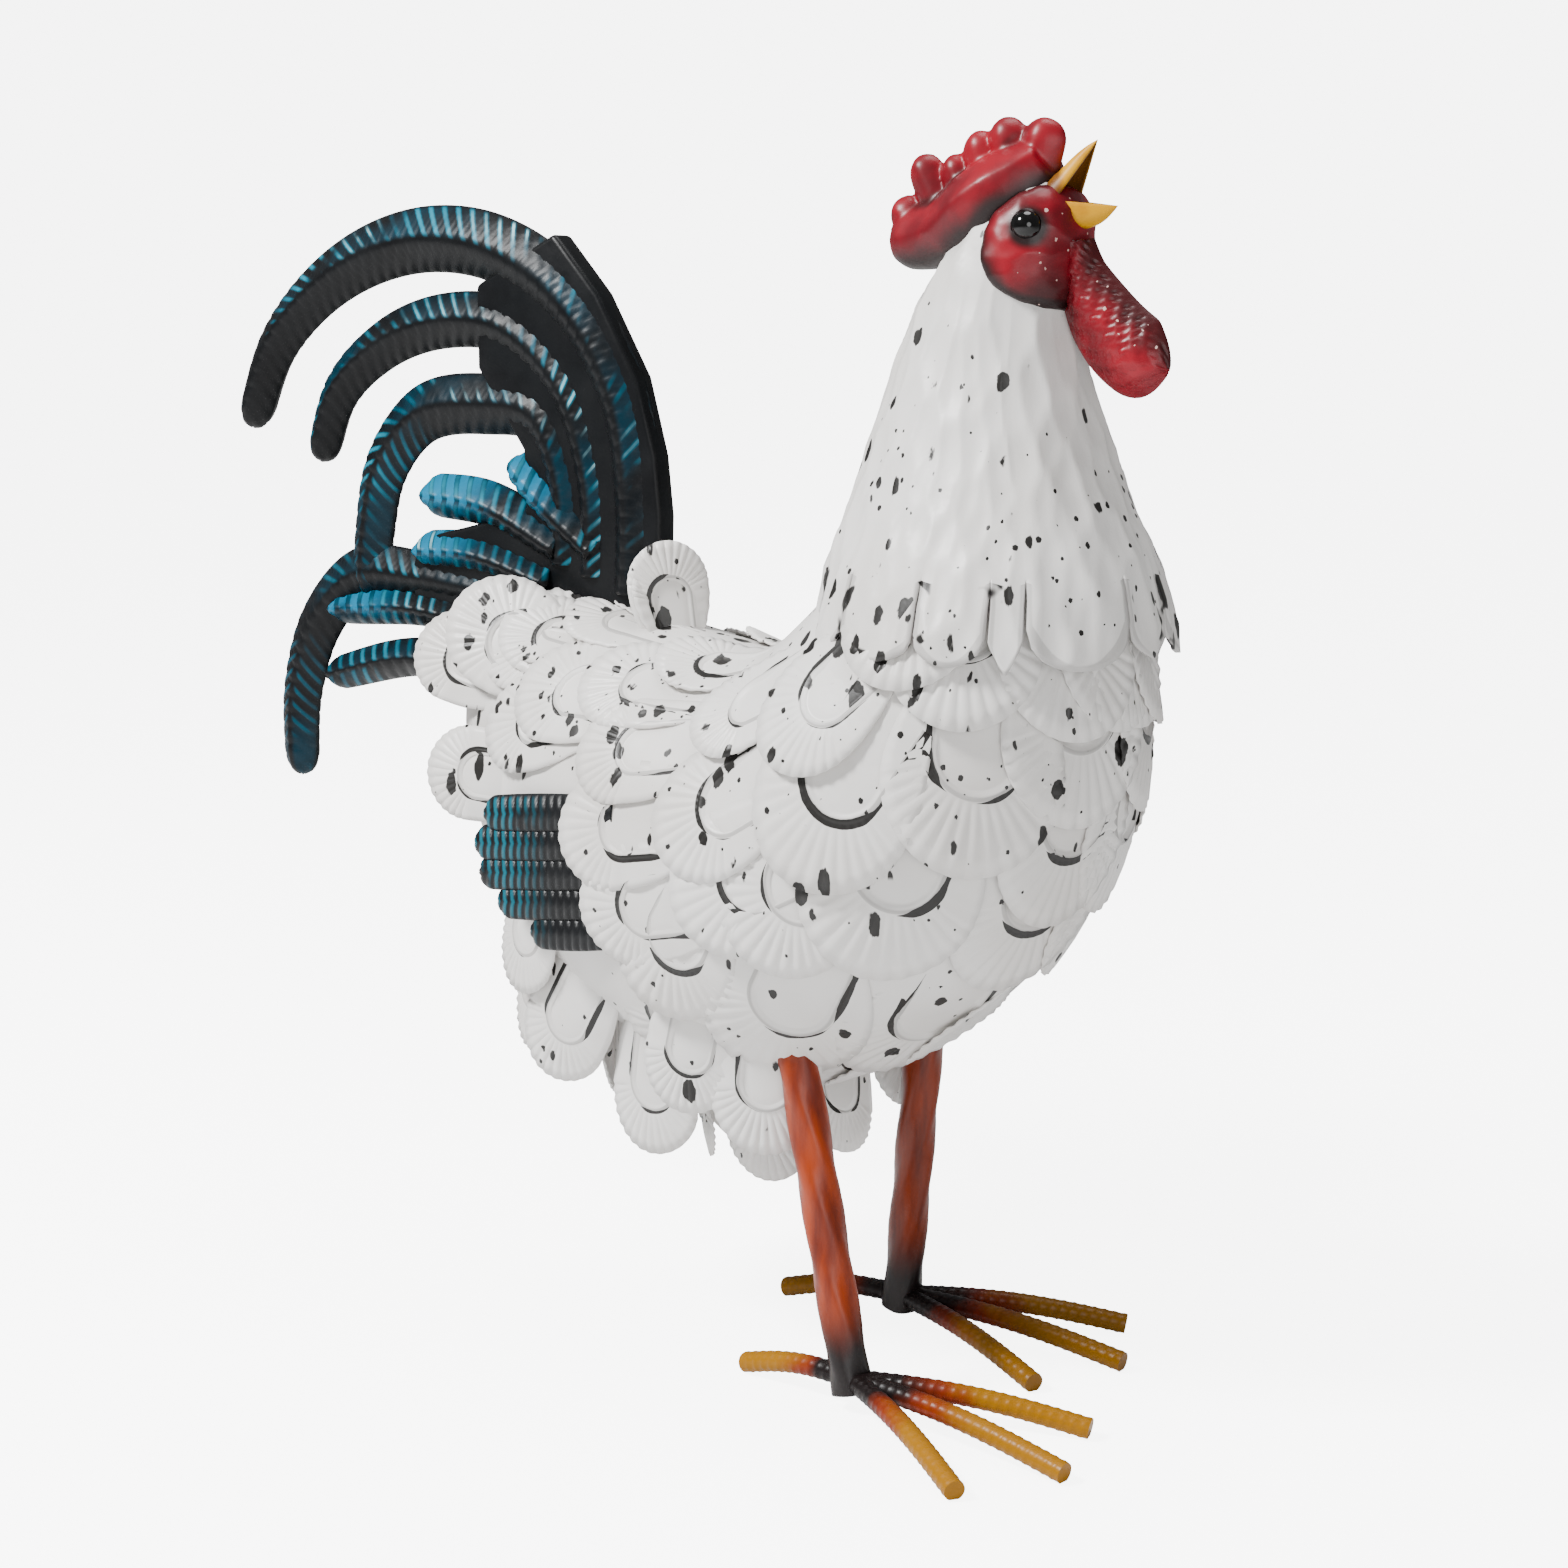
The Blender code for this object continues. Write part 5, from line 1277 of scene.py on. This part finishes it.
def studio():
    """A wide pale floor that runs into a white backdrop, and three soft lights."""
    mesh = bpy.data.meshes.new("studio_floor")
    corners = [(x * FLOOR_HALF, y * FLOOR_HALF, 0) for x, y in ((-1, -1), (1, -1), (1, 1), (-1, 1))]
    mesh.from_pydata(corners, [], [(0, 1, 2, 3)])
    floor = in_scene("studio_floor", mesh)
    floor.location = (0, 0, -FLOOR_DROP)
    paint = bpy.data.materials.new("pale_floor")
    paint.use_nodes = True
    inputs = paint.node_tree.nodes["Principled BSDF"].inputs
    inputs["Base Color"].default_value = (FLOOR_TONE, FLOOR_TONE, FLOOR_TONE, 1)
    inputs["Roughness"].default_value = 1.0
    inputs["Specular IOR Level"].default_value = 0.0
    inputs["Emission Color"].default_value = (1, 1, 1, 1)
    glow = seen_by_camera(paint.node_tree, 0.0, BACKDROP - FLOOR_TONE * AMBIENT)
    paint.node_tree.links.new(glow.socket, inputs["Emission Strength"])
    mesh.materials.append(paint)
    world = bpy.data.worlds.new("studio")
    world.use_nodes = True
    back = world.node_tree.nodes["Background"].inputs
    back["Color"].default_value = (1.0, 1.0, 1.0, 1)
    world.node_tree.links.new(seen_by_camera(world.node_tree, AMBIENT, BACKDROP).socket, back["Strength"])
    bpy.context.scene.world = world
    for name, spot, aim_height, size, power in LIGHTS:
        lamp = bpy.data.lights.new(name, "AREA")
        lamp.shape = "DISK"
        lamp.size = size
        lamp.energy = power
        aimed(name, lamp, spot, (0, 0, aim_height))


def camera():
    lens = bpy.data.cameras.new("photo_view")
    lens.sensor_width = SENSOR
    lens.lens = SENSOR * FOCAL_PIXELS / PHOTO_PIXELS
    bpy.context.scene.camera = aimed("photo_view", lens, CAMERA_PLACE, CAMERA_AIM)


# Assembly

def place(thing, slot, *nodes):
    """The piece stands for its CAD nodes, which all ride on the one body."""
    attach(thing, "root")
    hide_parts(*nodes)


def feathers_and_neck():
    white, stamp = feather_white(), stamp_tree()
    shell = body_shell()
    shell.data.materials.append(white)
    place(shell, "white_enamel", "body")
    pieces = {"plume_feathers": plume()}
    for side, mirrored in (("right", False), ("left", True)):
        pieces["coat_feathers_" + side] = coat_feathers(mirrored)
        pieces["hanging_feathers_" + side] = hanging_feathers(mirrored)
    for name, coat in pieces.items():
        place(apply_tree(coat.mesh(name), stamp, {}, white, SHEET), "white_enamel", "body")
    neck = apply_tree(neck_sheet(), hammer_tree(), NECK_HAMMER, neck_white(), NECK_SHEET)
    place(neck, "white_enamel", "neck")


def tail_and_flight():
    black, barbs = tail_black(), barb_tree()
    place(apply_tree(tail_feathers(), barbs, {}, black), "teal_black_enamel", "tail")
    place(apply_tree(tail_web(), hammer_tree(), {}, black), "teal_black_enamel", "tail")
    dark = flight_black()
    for side, mirrored in (("right", False), ("left", True)):
        wing = flight_feathers("flight_plates_" + side, mirrored)
        apply_tree(wing, barbs, {"Pitch": RIB_PITCH, "Depth": 0.0006}, dark)
        place(wing, "teal_black_enamel", "flight_feathers_" + side)


def head():
    hammered = hammer_tree()
    place(apply_tree(comb_crest(), hammered, COMB_HAMMER, comb_red()), "red_enamel", "comb")
    place(apply_tree(face_mask(), hammered, FACE_HAMMER, face_red()), "red_enamel", "face")
    place(apply_tree(wattle_drop(), dimple_tree(), {}, wattle_red()), "red_enamel", "wattle")
    gloss, yellow = eye_black(), beak_yellow()
    for side, sign in (("right", 1), ("left", -1)):
        eye = eye_dome("eye_dome_" + side, sign)
        eye.data.materials.append(gloss)
        place(eye, "black_gloss", "eye_" + side)
    for which in BEAK_FOLDS:
        fold = beak_fold("beak_fold_" + which, which)
        fold.data.materials.append(yellow)
        place(fold, "yellow_enamel", "beak_" + which)


def legs_and_toes():
    bar = bar_tree()
    # The left leg and toes, on the far side, take colours darkened to 0.62 as painted shade.
    for name, side, shade_factor in (("right", -1, 1.0), ("left", 1, 0.62)):
        foot, top = leg_line(side)
        leg = line_object("leg_bar_" + name, [foot, top])
        length = np.linalg.norm(top - foot)
        apply_tree(leg, bar, {"Half Width": LEG_HALF, "Squareness": 2.9, "Twist": side * LEG_TWIST / length,
                              "Step": 0.0012}, leg_orange("orange_brown_enamel_leg_" + name, shade_factor))
        place(leg, "orange_brown_enamel", "leg_" + name)
        for part, turn, reach in TOES:
            toe = line_object("toe_rod_%s_%s" % (name, part), toe_line(side, turn, reach))
            paint = toe_fade("orange_brown_enamel_toe_%s_%s" % (name, part), reach, shade_factor)
            apply_tree(toe, bar, {"Half Width": ROD_RADIUS, "Rib Pitch": TOE_RIB_PITCH,
                                  "Rib Depth": TOE_RIB_DEPTH, "Step": 0.0007}, paint)
            keep_above_ground(toe)
            place(toe, "orange_brown_enamel", "toe_%s_%s" % (name, part))


feathers_and_neck()
tail_and_flight()
head()
legs_and_toes()
studio()
camera()
